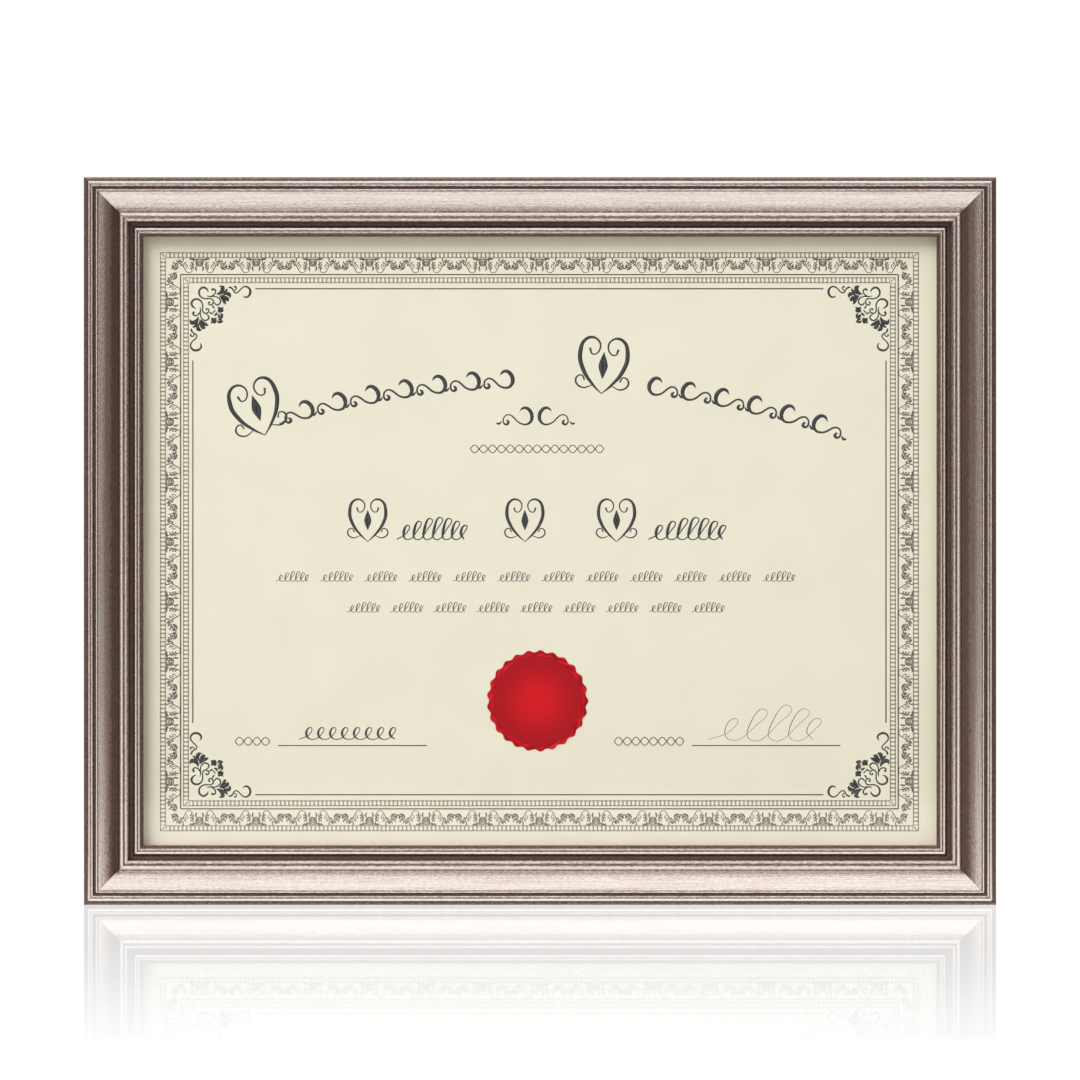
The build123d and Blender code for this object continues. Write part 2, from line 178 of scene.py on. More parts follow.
def new_finish(name, **values):
    """A material, its tree and its Principled shader, with plain values set on the shader's sockets."""
    material = bpy.data.materials.new(name)
    material.use_nodes = True
    shader = fill(material.node_tree.nodes["Principled BSDF"], spaced(values))
    return material, material.node_tree, shader


def mixed(tree, share, first, second):
    """The colour share of the way from first to second."""
    return put(tree, "ShaderNodeMix", {0: share, 6: first, 7: second}, data_type="RGBA").outputs[2]


def between(tree, share, first, second):
    """The number share of the way from first to second."""
    return put(tree, "ShaderNodeMix", {0: share, 2: first, 3: second}).outputs[0]


def blended(tree, share, first, second):
    """The shader share of the way from first to second."""
    return put(tree, "ShaderNodeMixShader", {0: share, 1: first, 2: second}).outputs[0]


def glowing(tree, strength):
    """A plain white glow."""
    return put(tree, "ShaderNodeEmission", {"Strength": strength}).outputs[0]


def ranged(tree, value, low, high, to_low=0.0, to_high=1.0, smooth=True):
    """Maps value from low..high onto to_low..to_high, held at both ends."""
    inputs = {"Value": value, "From Min": low, "From Max": high, "To Min": to_low, "To Max": to_high}
    kind = "SMOOTHSTEP" if smooth else "LINEAR"
    return put(tree, "ShaderNodeMapRange", inputs, interpolation_type=kind).outputs[0]


def worked(tree, operation, first, second=0.0):
    """One step of arithmetic."""
    return put(tree, "ShaderNodeMath", {0: first, 1: second}, operation=operation).outputs[0]


def product(tree, first, *others):
    """All these values, multiplied."""
    for other in others:
        first = worked(tree, "MULTIPLY", first, other)
    return first


def colour(red, green, blue):
    """A colour from its 0 to 255 screen values, as the linear values that Blender works in."""
    shares = [c / 255 for c in (red, green, blue)]
    return (*[s / 12.92 if s <= 0.04045 else ((s + 0.055) / 1.055) ** 2.4 for s in shares], 1.0)


def toned(tone, share):
    """A colour times a share: darker below 1, lighter above."""
    return (*[c * share for c in tone[:3]], 1.0)


print("paper white is written as", [round(c, 3) for c in colour(234, 229, 207)])

# %% [markdown]
# ## Shader groups that several finishes share
#
# Brushing, mottling and fine fibres turn up on many surfaces at different scales. Each is one node
# group with named inputs, built once and placed in every material that needs it.
#
# *Brushed* stretches noise along one direction: short flecks over longer streaks. *Mottled* is soft
# cloudy variation. *Fibres* is fine, felted noise for paper, board and cloth.

# %% Shader groups that several finishes share
def new_group(name, inputs, outputs):
    """An empty shader group with its sockets, and its input and output nodes."""
    group = bpy.data.node_groups.new(name, "ShaderNodeTree")
    for socket_name, kind, value in inputs:
        made = group.interface.new_socket(name=socket_name, in_out="INPUT", socket_type=kind)
        if value is not None:
            made.default_value = value
    for socket_name, kind in outputs:
        group.interface.new_socket(name=socket_name, in_out="OUTPUT", socket_type=kind)
    return group, put(group, "NodeGroupInput").outputs, put(group, "NodeGroupOutput").inputs


def brushed_group():
    """Flecks and streaks that run along the first axis of Place."""
    group, given, result = new_group(
        "brushed",
        [
            ("Place", "NodeSocketVector", None),
            ("Fleck Length", "NodeSocketFloat", 0.0025),
            ("Streak Length", "NodeSocketFloat", 0.03),
            ("Thickness", "NodeSocketFloat", 0.0003),
        ],
        [("Flecks", "NodeSocketFloat"), ("Streaks", "NodeSocketFloat")],
    )
    across = worked(group, "DIVIDE", 1.0, given["Thickness"])
    for length_name, output_name, detail in (
        ("Fleck Length", "Flecks", 2.0), ("Streak Length", "Streaks", 3.0)
    ):
        along = worked(group, "DIVIDE", 1.0, given[length_name])
        scale = put(group, "ShaderNodeCombineXYZ", {0: along, 1: across, 2: across})
        place = put(
            group, "ShaderNodeVectorMath", {0: given["Place"], 1: scale.outputs[0]}, operation="MULTIPLY"
        )
        noise = put(
            group, "ShaderNodeTexNoise", {"Vector": place.outputs[0], "Scale": 1.0, "Detail": detail}
        )
        group.links.new(noise.outputs[0], result[output_name])
    return group


def cloudy_group(name, detail, distortion):
    """Noise at one feature size, as a value round 0.5."""
    group, given, result = new_group(
        name,
        [("Place", "NodeSocketVector", None), ("Size", "NodeSocketFloat", 0.01)],
        [("Value", "NodeSocketFloat")],
    )
    scale = worked(group, "DIVIDE", 1.0, given["Size"])
    settings = {"Vector": given["Place"], "Scale": scale, "Detail": detail, "Distortion": distortion}
    noise = put(group, "ShaderNodeTexNoise", settings)
    group.links.new(noise.outputs[0], result["Value"])
    return group


brushed = brushed_group()
mottled = cloudy_group("mottled", 3.0, 0.3)
fibres = cloudy_group("fibres", 8.0, 1.5)


def placed(tree, group, **inputs):
    """Puts a shared group in a material's tree."""
    return put(tree, "ShaderNodeGroup", spaced(inputs), node_tree=group).outputs


def own_place(tree):
    """Where a point of the piece is, in metres, for patterns that stay put on it."""
    return put(tree, "ShaderNodeTexCoord").outputs["Object"]


def bumped(tree, shader, height, depth):
    """Lets a height map, in shares of depth metres, raise the surface's shading."""
    bump = put(tree, "ShaderNodeBump", {"Height": height, "Strength": 1.0, "Distance": depth})
    fill(shader, {"Normal": bump.outputs[0]})


print("shared groups:", [g.name for g in bpy.data.node_groups])

# %% [markdown]
# ## Light and surroundings
#
# The room is a plain white studio. The camera sees white all round. A polished or foiled surface
# shows what surrounds it, so the world also holds what such a surface meets: bright in front, above and
# behind, and dark to the left and right, where a studio has its flags. That makes the upright lengths
# of the moulding darker than the level ones, though all four have one finish, and painted shade on the
# uprights' ovolo adds to it. Right behind the lens it is dark too, so that the glass doesn't mirror white
# over the paper.

# %% The world
studio_light = 0.57
studio_front = 1.16
studio_side = 0.04
studio_top = 1.2
front_until = 0.30
side_from = 1.0
bright_from = 0.42
bright_to = 0.80
behind_from = 0.6
behind_to = 1.0
dark_core = radians(2.2)
dark_edge = radians(4)
warm_dim = (1.0, 0.64, 0.50, 1.0)

world = bpy.data.worlds.new("studio")
world.use_nodes = True
bpy.context.scene.world = world
sky = world.node_tree
direction = put(sky, "ShaderNodeSeparateXYZ", {0: put(sky, "ShaderNodeTexCoord").outputs["Generated"]})
steepness = worked(sky, "ABSOLUTE", direction.outputs["Z"])
sideways = worked(sky, "ABSOLUTE", direction.outputs["X"])
horizon = ranged(sky, sideways, front_until, side_from, studio_front, studio_side, smooth=False)
surround = ranged(sky, steepness, bright_from, bright_to)
behind = ranged(sky, direction.outputs["Y"], behind_from, behind_to)
open_white = worked(sky, "MAXIMUM", surround, behind)
reflected = between(sky, open_white, horizon, studio_top)
path = put(sky, "ShaderNodeLightPath").outputs
lit = between(sky, path["Is Glossy Ray"], studio_light, reflected)
seen = worked(sky, "MAXIMUM", path["Is Camera Ray"], path["Is Transmission Ray"])
level = between(sky, seen, lit, 1.0)
at_lens = ranged(sky, direction.outputs["Y"], -cos(dark_core), -cos(dark_edge), 1.0, 0.0)
opening = worked(sky, "SUBTRACT", 1.0, product(sky, at_lens, path["Is Glossy Ray"]))
strength = product(sky, level, opening)
not_mirrored = worked(sky, "SUBTRACT", 1.0, path["Is Glossy Ray"])
whiteness = worked(sky, "MAXIMUM", strength, not_mirrored)
tint = mixed(sky, whiteness, warm_dim, (1, 1, 1, 1))
fill(sky.nodes["Background"], {"Strength": strength, "Color": tint})
print("the studio lights the object at", studio_light, "and looks white to the camera")

# %% [markdown]
# One large soft lamp stands high on the left. It throws the short soft shadow that the frame's inner
# edge lays on the paper. A weaker one lights the back. Lamps are hidden from reflections, so that the
# foil shows the studio alone.

# %% The lamps
def soft_lamp(name, place, size, power):
    """A square area lamp that faces the middle of the frame and isn't seen in reflections."""
    data = bpy.data.lights.new(name, "AREA")
    data.size = size
    data.energy = power
    lamp = linked(name, data)
    lamp.location = place
    towards = Vector((0, 0, middle_height)) - lamp.location
    lamp.rotation_euler = towards.to_track_quat("-Z", "Y").to_euler()
    lamp.visible_glossy = False


soft_lamp("key_lamp", place=(-1.9, -2.4, 2.75), size=2.2, power=131.0)
soft_lamp("back_lamp", place=(1.1, 1.5, 1.3), size=1.6, power=22.0)

# %% [markdown]
# ## The floor
#
# The frame stands on a polished white surface: the photograph shows its mirror image below it, faint
# at the foot and gone after a fifth of its height. The floor is one large square. Its shader
# is white, plus a mirror whose share falls with the distance from the foot of the frame.
#
# To the camera the white is a matt surface with a faint glow, which keeps the floor as white as
# the photograph's and still shows a shadow. To the foil and the glass the floor is a plain glow:
# bright near the foot, darker far off, and dark beside the frame, as the studio is.

# %% The floor
floor_size = 60.0
mirror_share = 0.36
mirror_full = 0.6
mirror_reach = 1.95
mirror_ends = (1.66, 1.70)
front_glow = 0.615
foot_glow = 0.745
back_gain = 0.11
glow_front = -1.0
glow_foot = 0.2
glow_back = 3.0
floor_bounce = 0.35
floor_albedo = 0.30
foil_sees = 1.07
flag_near = 0.03
flag_far = 0.30
bright_floor = 0.6
dim_floor = 1.6
dark_floor = 3.2

floor_mesh = bmesh.new()
bmesh.ops.create_grid(floor_mesh, x_segments=1, y_segments=1, size=floor_size / 2)
floor = linked("floor", as_mesh(floor_mesh, "floor"))

floor_finish = bpy.data.materials.new("floor_white")
floor_finish.use_nodes = True
tree = floor_finish.node_tree
tree.nodes.remove(tree.nodes["Principled BSDF"])
spot = put(tree, "ShaderNodeSeparateXYZ", {0: own_place(tree)}).outputs
past_side = worked(tree, "SUBTRACT", worked(tree, "ABSOLUTE", spot[0]), outer_width / 2)
beside = worked(tree, "MAXIMUM", past_side)
ahead = worked(tree, "ABSOLUTE", spot[1])
squares = worked(tree, "ADD", product(tree, beside, beside), product(tree, ahead, ahead))
distance = worked(tree, "SQRT", squares)
fade = product(
    tree, ranged(tree, distance, mirror_full, mirror_reach, mirror_share, 0.0, smooth=False),
    ranged(tree, distance, *mirror_ends, 1.0, 0.0),
)
grazing = put(tree, "ShaderNodeFresnel", {"IOR": 1.5}).outputs[0]
path = put(tree, "ShaderNodeLightPath").outputs
share = product(tree, fade, grazing, path["Is Camera Ray"])
matt = put(tree, "ShaderNodeBsdfDiffuse", {"Color": (floor_albedo,) * 3 + (1,)}).outputs[0]
white_glow = worked(
    tree, "ADD", ranged(tree, spot[1], glow_front, glow_foot, front_glow, foot_glow, smooth=False),
    ranged(tree, spot[1], glow_foot, glow_back, 0.0, back_gain, smooth=False),
)
glow = glowing(tree, between(tree, path["Is Diffuse Ray"], white_glow, floor_bounce))
white = put(tree, "ShaderNodeAddShader", {0: matt, 1: glow}).outputs[0]
mirror = put(tree, "ShaderNodeBsdfGlossy", {"Color": (1, 1, 1, 1), "Roughness": 0.0}).outputs[0]
polished = blended(tree, share, white, mirror)
in_foil = ranged(tree, distance, bright_floor, dim_floor, foil_sees, studio_front)
in_glass = ranged(tree, distance, dim_floor, dark_floor, 1.0, 0.0)
in_flag = ranged(tree, beside, flag_near, flag_far, 1.0, studio_side)
foil_view = glowing(tree, product(tree, in_foil, in_glass, in_flag))
shown = blended(tree, path["Is Glossy Ray"], polished, foil_view)
fill(tree.nodes["Material Output"], {0: shown})
floor.data.materials.append(floor_finish)
print("the mirror image is gone", mirror_ends[1], "m in front of the foot")

# %% [markdown]
# ## The moulding
#
# The frame's four rails are cut from one length of moulding, so one section is drawn and swept along
# each of them. The section is a chain of small members: rounds, reeds, an ovolo, a scoop.

# %% The members of the moulding
# name, width across the face, rise towards the viewer, bulge, glaze and painted shade at its start, middle
# and end;
# the dark in the quirks and the scoop is glaze, on the edge round, the second, middle and inner reeds and
# the ovolo's inner end it is painted shade
members = [
    ("edge round", 1.3, 1.5, 0.36, 0.80, 0.72, 1.00),
    ("outer reed", 1.0, 0.0, 0.42, 0.45, 0.00, 0.50),
    ("second reed", 0.95, -0.35, 0.34, 0.75, 0.42, 0.95),
    ("quirk", 0.8, 0.1, -0.42, 0.95, 1.00, 0.95),
    ("fillet", 0.7, 0.0, 0.16, 0.70, 0.22, 0.85),
    ("ovolo quirk", 0.3, -0.35, 0.0, 0.90, 0.90, 0.30),
    ("ovolo", 6.8, -5.0, 0.78, 0.05, 0.28, 0.55),
    ("wide reed", 1.65, 0.55, 0.44, 0.00, 0.00, 0.75),
    ("middle reed", 1.75, -0.75, 0.46, 0.95, 0.36, 0.85),
    ("scoop wall", 0.25, -2.1, 0.0, 0.95, 0.95, 0.98),
    ("scoop", 1.65, 0.0, -0.6, 0.98, 0.98, 0.95),
    ("sight reed", 1.1, 0.0, 0.36, 0.10, 0.00, 0.75),
    ("inner reed", 1.1, -0.45, 0.34, 0.80, 0.42, 0.90),
    ("sight round", 1.0, -1.3, 0.26, 0.90, 0.90, 1.0),
]
side_top = 16.88 * MM
rabbet_width = 4.0 * MM
rabbet_depth = back_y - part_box("glazing")[0].y
face_width = sum(member[1] for member in members) * MM
land_width = face_width - rabbet_width
ovolo_number = [member[0] for member in members].index("ovolo")
ovolo_start = sum(member[1] for member in members[:ovolo_number]) * MM
ovolo_end = ovolo_start + members[ovolo_number][1] * MM
print(len(members), "members make a face", round(face_width / MM, 2), "mm wide")

# %% [markdown]
# Each member is an arc or a flat that starts where the last one ended. An arc is made by *spinning* its
# first point about its centre, which is how a turner thinks of it, and needs no list of points.

# %% The section as a chain of edges
turn_per_step = radians(9)
back_inset = 0.03 * MM
side_glaze = 0.85


def spun_arc(section, first, chord, bulge):
    """Spins a point into an arc over chord, bulging to the left of it, and returns the number of steps."""
    half = chord.length / 2
    radius = (half * half + bulge * bulge) / (2 * abs(bulge))
    outwards = Vector((-chord.y, chord.x, 0)).normalized() * (1 if bulge > 0 else -1)
    centre = first.co + chord / 2 + outwards * (abs(bulge) - radius)
    turn = 2 * asin(half / radius)
    steps = max(2, round(turn / turn_per_step))
    axis = Vector((0, 0, -1 if bulge > 0 else 1))
    bmesh.ops.spin(
        section, geom=[first], cent=centre, axis=axis, dvec=(0, 0, 0), angle=turn, steps=steps,
        use_duplicate=False,
    )
    return steps


def moulding_section():
    """The closed outline of the rail: x inwards across the face, y from the back to the viewer."""
    section = bmesh.new()
    # the dark kept on each point: glaze in the hollows, painted shade on the reeds' crests and the ovolo
    glaze = section.verts.layers.float.new("glaze")

    def onwards(last, step, value):
        """Adds a straight edge from the last point."""
        made = section.verts.new(last.co + step)
        made[glaze] = value
        section.edges.new((last, made))
        return made

    corner = section.verts.new((0, back_inset, 0))
    corner[glaze] = 1.0
    last = onwards(corner, Vector((0, side_top - back_inset, 0)), side_glaze)
    for name, width, rise, bulge, glaze_and_shade_start, crest, glaze_and_shade_end in members:
        chord = Vector((width, rise, 0)) * MM
        if bulge == 0:
            last = onwards(last, chord, glaze_and_shade_end)
            continue
        steps = spun_arc(section, last, chord, bulge * MM)
        section.verts.ensure_lookup_table()
        for step, point in enumerate(section.verts[-steps:], 1):
            share = step / steps
            side = glaze_and_shade_start if share < 0.5 else glaze_and_shade_end
            point[glaze] = crest + (side - crest) * abs(2 * share - 1)
        last = section.verts[-1]
    for x, y in ((face_width, rabbet_depth), (land_width, rabbet_depth), (land_width, back_inset)):
        last = onwards(last, Vector((x, y, 0)) - last.co, 1.0)
    section.edges.new((last, corner))
    return section


section = moulding_section()
print("the section has", len(section.verts), "points and is closed by", len(section.edges), "edges")

# %% [markdown]
# The section is extruded along the rail, and two slanting cuts make the mitres. The rail is built
# lying in its own axes and only then turned into place, so all four come from one function.
#
# The rail's finish needs to know three things at every point: where it is along, across and through
# the moulding, how much dark glaze and painted shade it carries, and how far it is from the mitre. They
# are kept as attributes of the mesh, in the rail's own axes, so that one material fits all four rails and
# the brushing always runs along the wood. The upright rails carry more painted shade on the ovolo and a
# painted highlight on their lighter members, where less dark is painted, than the level ones.

# %% Four rails from one section
sharp_from = radians(22)
painted_highlight_below = 0.6
on_the_end = 0.01 * MM
backwards_below = -0.9
rabbet_side = face_width - 0.01 * MM


def mitred_rail(name, length, middle, inwards, grain_start, ovolo_painted_shade, reed_painted_highlight):
    """One rail, whose outer edge on the back has its middle at middle, with inwards across its face."""
    rail = section.copy()
    near = rail.verts[:]
    far = only(bmesh.types.BMVert, bmesh.ops.extrude_edge_only(rail, edges=rail.edges[:])["geom"])
    bmesh.ops.translate(rail, verts=near, vec=(0, 0, -length / 2))
    bmesh.ops.translate(rail, verts=far, vec=(0, 0, length / 2))
    for end in (-1, 1):
        sliced(rail, (0, 0, end * length / 2), (1, 0, end))
    sliced(rail, (0, 0, 0), (0, 0, 1), capped=False)
    bmesh.ops.recalc_face_normals(rail, faces=rail.faces)
    place = rail.verts.layers.float_vector.new("rail_place")
    to_mitre = rail.verts.layers.float.new("to_mitre")
    glaze = rail.verts.layers.float["glaze"]
    for vert in rail.verts:
        vert[place] = Vector((vert.co.z + grain_start, vert.co.x, vert.co.y))
        vert[to_mitre] = length / 2 - abs(vert.co.z) - vert.co.x
        # painted shade along the ovolo, darker towards its inner end, and a painted highlight, less dark,
        # on the lighter members
        if ovolo_start < vert.co.x < ovolo_end + on_the_end:
            vert[glaze] += ovolo_painted_shade * (vert.co.x - ovolo_start) / (ovolo_end - ovolo_start)
        elif vert[glaze] < painted_highlight_below:
            vert[glaze] -= reed_painted_highlight
    for face in rail.faces:
        face.smooth = True
        unseen = face.normal.y < backwards_below or face.calc_center_median().x > rabbet_side
        face.material_index = 1 if unseen else 0
    for edge in rail.edges:
        edge.smooth = len(edge.link_faces) == 2 and edge.calc_face_angle() < sharp_from
    forwards = Vector((0, -1, 0))
    inwards = Vector(inwards)
    axes = Matrix((inwards, forwards, inwards.cross(forwards))).transposed().to_4x4()
    bmesh.ops.transform(rail, matrix=Matrix.Translation(middle) @ axes, verts=rail.verts)
    piece = linked(name, as_mesh(rail, name))
    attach(piece, "frame")
    return piece


half_width = outer_width / 2
# painted shade on the ovolo and painted highlight on the reeds: none on the level rails, some on the
# upright ones
level_painted_light = (0.0, 0.0)
upright_painted_light = (0.80, 0.30)
rails = {}
for grain_start, (side, length, middle, inwards, glaze) in enumerate((
    ("bottom", outer_width, (0, back_y, 0), (0, 0, 1), level_painted_light),
    ("top", outer_width, (0, back_y, outer_height), (0, 0, -1), level_painted_light),
    ("left", outer_height, (-half_width, back_y, middle_height), (1, 0, 0), upright_painted_light),
    ("right", outer_height, (half_width, back_y, middle_height), (-1, 0, 0), upright_painted_light),
)):
    rail = mitred_rail(side + "_moulding", length, middle, inwards, grain_start, *glaze)
    rails[side + "_rail"] = rail
    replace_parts(rail, side + "_rail")
print({name: len(rail.data.polygons) for name, rail in rails.items()}, "faces")

# %% [markdown]
# ## The foil of the moulding
#
# The wood is wrapped in a pale pewter foil, rubbed with a red-brown glaze. Brushing along the rail
# left fine flecks, and the glaze stayed in the quirks and wore off the crests. The same brown is also
# painted as shade on the edge round, the second reeds and the ovolo, and more on the upright rails. Foil
# is a metal, so its Metallic is high on the crests and falls where glaze and painted shade cover it,
# which is also rougher.

# %% The foil of the moulding
foil_pale = colour(242, 234, 227)
foil_rubbed = colour(180, 154, 143)
foil_stained_and_shaded = colour(204, 176, 163)
glaze_and_shade_light = colour(92, 65, 55)
glaze_and_shade_dark = colour(48, 31, 26)
rub_share = 0.42
worn_crest = 0.2
mitre_line = 0.18 * MM


def kept(tree, name, output="Fac"):
    """An attribute that was kept on the rail's points."""
    return put(tree, "ShaderNodeAttribute", attribute_name=name).outputs[output]


def pewter_foil():
    """Foil that is rubbed and tinted pink where its brown coat and painted shade are thin, and covered
    where they are thick.
    """
    material, tree, shader = new_finish("pewter_foil")
    place = kept(tree, "rail_place", "Vector")
    glaze = kept(tree, "glaze")
    to_mitre = kept(tree, "to_mitre")
    brushing = placed(
        tree, brushed, Place=place, Fleck_Length=1.3 * MM, Streak_Length=30 * MM, Thickness=0.3 * MM
    )
    fine = ranged(tree, brushing["Flecks"], 0.34, 0.70)
    long = ranged(tree, brushing["Streaks"], 0.35, 0.68)
    rubbed = worked(tree, "ADD", product(tree, fine, rub_share), product(tree, long, rub_share))
    handled = product(tree, rubbed, ranged(tree, glaze, 0.0, 0.3, worn_crest, 1.0))
    foil = mixed(tree, handled, foil_pale, foil_rubbed)
    at_mitre = ranged(tree, to_mitre, 0.0, mitre_line, 0.7, 0.0)
    uneven = product(tree, worked(tree, "SUBTRACT", fine, 0.5), 0.16)
    # one share for the brown: glaze in the hollows and painted shade on the reeds and the ovolo, plus the
    # real dark line of the mitre joint
    gathered = worked(tree, "ADD", glaze, uneven)
    glaze_and_shade_share = worked(tree, "MAXIMUM", ranged(tree, gathered, 0.25, 0.95, 0.0, 0.94), at_mitre)
    # the pink tint and the brown below paint shade as well as colouring the real glaze
    stained_and_shaded = mixed(tree, ranged(tree, glaze_and_shade_share, 0.0, 0.8), foil, foil_stained_and_shaded)
    brown = mixed(tree, fine, glaze_and_shade_light, glaze_and_shade_dark)
    fill(shader, {"Base Color": mixed(tree, glaze_and_shade_share, stained_and_shaded, brown)})
    fill(shader, {"Metallic": ranged(tree, glaze_and_shade_share, 0.2, 1.0, 1.0, 0.35)})
    body_rough = ranged(tree, glaze_and_shade_share, 0.0, 1.0, 0.22, 0.42)
    rough = worked(tree, "ADD", body_rough, product(tree, fine, 0.08))
    fill(shader, {"Roughness": rough})
    bumped(tree, shader, brushing["Flecks"], 0.04 * MM)
    return material


def raw_wood():
    """The back and the rabbet of the moulding: pale pine, sawn and not finished."""
    material, tree, shader = new_finish("raw_wood", Roughness=0.72)
    grain = placed(
        tree, brushed, Place=kept(tree, "rail_place", "Vector"),
        Fleck_Length=12 * MM, Streak_Length=160 * MM, Thickness=1.1 * MM,
    )
    rings = ranged(tree, grain["Streaks"], 0.35, 0.65)
    pores = ranged(tree, grain["Flecks"], 0.55, 0.70)
    wood = mixed(tree, rings, colour(214, 184, 142), colour(176, 136, 92))
    porous = mixed(tree, product(tree, pores, 0.4), wood, colour(128, 92, 60))
    fill(shader, {"Base Color": porous})
    bumped(tree, shader, grain["Flecks"], 0.06 * MM)
    return material


rail_finishes = (pewter_foil(), raw_wood())
for rail in rails.values():
    for finish in rail_finishes:
        rail.data.materials.append(finish)
print("rail finishes:", [finish.name for finish in rail_finishes])

# %% [markdown]
# ## Helpers for carried-over solids
#
# A CAD solid whose shape is right stays as it is and only gets its finish.

# %% Helpers for carried-over solids
def finish_node(node, material):
    """Gives every material slot of a CAD node one finish."""
    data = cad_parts[node].data
    if not data.materials:
        data.materials.append(material)
    for slot in range(len(data.materials)):
        data.materials[slot] = material


print(len(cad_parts), "solids came from the CAD")

# %% [markdown]
# ## Glass and paper
#
# The glass is a real pane with its own thickness, so it gets a plain glass shader. Cycles finds it hard
# to send a lamp's light through glass, so rays that only ask for light pass it as if it were clear.
#
# The paper is a warm cream with the faintest cloudiness and fibre.

# %% Glass and paper
def clear_glass():
    """Glass that bends what the camera sees and lets lamps and bounced light straight through."""
    material, tree, shader = new_finish(
        "clear_glass", Transmission_Weight=1.0, Roughness=0.0, IOR=1.45, Base_Color=(1, 1, 1, 1)
    )
    path = put(tree, "ShaderNodeLightPath").outputs
    clear = put(tree, "ShaderNodeBsdfTransparent").outputs[0]
    soft = blended(tree, path["Is Diffuse Ray"], shader.outputs[0], clear)
    both = blended(tree, path["Is Shadow Ray"], soft, clear)
    fill(tree.nodes["Material Output"], {0: both})
    return material


def cream_paper():
    """Smooth cream paper with a faint cloud in its colour."""
    material, tree, shader = new_finish("cream_paper", Roughness=0.78)
    place = own_place(tree)
    cloud = placed(tree, mottled, Place=place, Size=20 * MM)["Value"]
    fibre = placed(tree, fibres, Place=place, Size=1.2 * MM)["Value"]
    cream = mixed(tree, ranged(tree, cloud, 0.3, 0.7), colour(235, 230, 208), colour(232, 227, 205))
    fill(shader, {"Base Color": cream})
    bumped(tree, shader, fibre, 0.02 * MM)
    return material


finish_node("glazing", clear_glass())
finish_node("certificate_sheet", cream_paper())
print("the paper lies at y", round(sheet_y / MM, 2), "mm")

# %% [markdown]
# ## Pen strokes
#
# The certificate's border is drawn with strokes that swell and taper, as a pen leaves them. In Blender
# such a stroke is a Bezier curve with a bevel, where every point has a radius of its own. The curve
# becomes a mesh, and the mesh is pressed flat, so that ink is a closed shape a fiftieth of a
# millimetre thick that lies on the paper.
#
# A drawing is a handful of strokes on a grid of its own, each point written as (right, down, width) in
# squares of that grid. It is drawn once and then *stamped* wherever it is needed: turned, mirrored or
# stretched by a matrix. That is how a printer sets type ornaments too.

# %% Pen strokes
ink_height = 0.02 * MM
border_middle = Vector((-0.2 * MM, sheet_y, middle_height - 0.25 * MM))
sheet_share = 1 + (sheet_y - face_y) / camera_distance
lie_on_sheet = Matrix(((1, 0, 0, 0), (0, 0, -1, 0), (0, 1, 0, 0), (0, 0, 0, 1)))


def drawing(name, strokes, grid, mirrored=False, closed=False, steps=3, bold=0.0):
    """Strokes of (right, down, width) points on that grid, as one flat mesh. bold widens them all."""
    curve = bpy.data.curves.new(name, "CURVE")
    curve.dimensions = "3D"
    curve.twist_mode = "Z_UP"
    curve.resolution_u = steps
    curve.bevel_depth = grid / 2
    curve.bevel_resolution = 0
    curve.use_fill_caps = not closed
    for side in (1, -1) if mirrored else (1,):
        for stroke in strokes:
            spline = curve.splines.new("BEZIER")
            spline.use_cyclic_u = closed
            spline.bezier_points.add(len(stroke) - 1)
            for point, (right, down, width) in zip(spline.bezier_points, stroke):
                point.co = Vector((side * right, -down, 0)) * grid
                point.radius = width + bold
                point.handle_left_type = "AUTO"
                point.handle_right_type = "AUTO"
    holder = bpy.data.objects.new(name, curve)
    mesh = bpy.data.meshes.new_from_object(holder)
    bpy.data.objects.remove(holder)
    bpy.data.curves.remove(curve)
    tube = bmesh.new()
    tube.from_mesh(mesh)
    bmesh.ops.remove_doubles(tube, verts=tube.verts, dist=weld)
    for vert in tube.verts:
        side = (vert.co.z > weld) - (vert.co.z < -weld)
        vert.co.z = (side + 0.5) * ink_height
    tube.to_mesh(mesh)
    tube.free()
    return mesh


def stamp(mesh, right, up, turn=0.0, wide=1.0, high=1.0):
    """A drawing and its place: millimetres from the border's middle, a turn in degrees and stretches."""
    place = Matrix.Translation((right * MM, up * MM, 0)) @ Matrix.Rotation(radians(turn), 4, "Z")
    stretch = Matrix.Diagonal((wide, high, 1, 1))
    share = Matrix.Diagonal((sheet_share, sheet_share, 1, 1))
    return mesh, Matrix.Translation(border_middle) @ lie_on_sheet @ share @ place @ stretch


def assembled(name, stamps, material, body="frame"):
    """One piece from many stamps: pairs of a mesh and its place."""
    whole = bmesh.new()
    for mesh, place in stamps:
        known = len(whole.verts)
        whole.from_mesh(mesh)
        whole.verts.ensure_lookup_table()
        bmesh.ops.transform(whole, matrix=place, verts=whole.verts[known:])
    bmesh.ops.recalc_face_normals(whole, faces=whole.faces)
    piece = linked(name, as_mesh(whole, name))
    piece.data.materials.append(material)
    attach(piece, body)
    print(name, "has", len(stamps), "stamps and", len(piece.data.polygons), "faces")
    return piece


def ink(name, tone):
    """Matt printing ink, a little uneven where it took less well."""
    material, tree, shader = new_finish(name, Roughness=0.6)
    cloud = placed(tree, fibres, Place=own_place(tree), Size=0.8 * MM)["Value"]
    thin = ranged(tree, cloud, 0.4, 0.7)
    fill(shader, {"Base Color": mixed(tree, thin, tone, toned(tone, 1.25))})
    return material


dark_ink = ink("dark_ink", colour(60, 60, 62))
border_ink = ink("border_ink", colour(88, 84, 78))
flower_ink = ink("flower_ink", colour(104, 101, 96))
bead_ink = ink("bead_ink", colour(150, 144, 126))
print("a stroke of ink is", ink_height / MM, "mm thick")

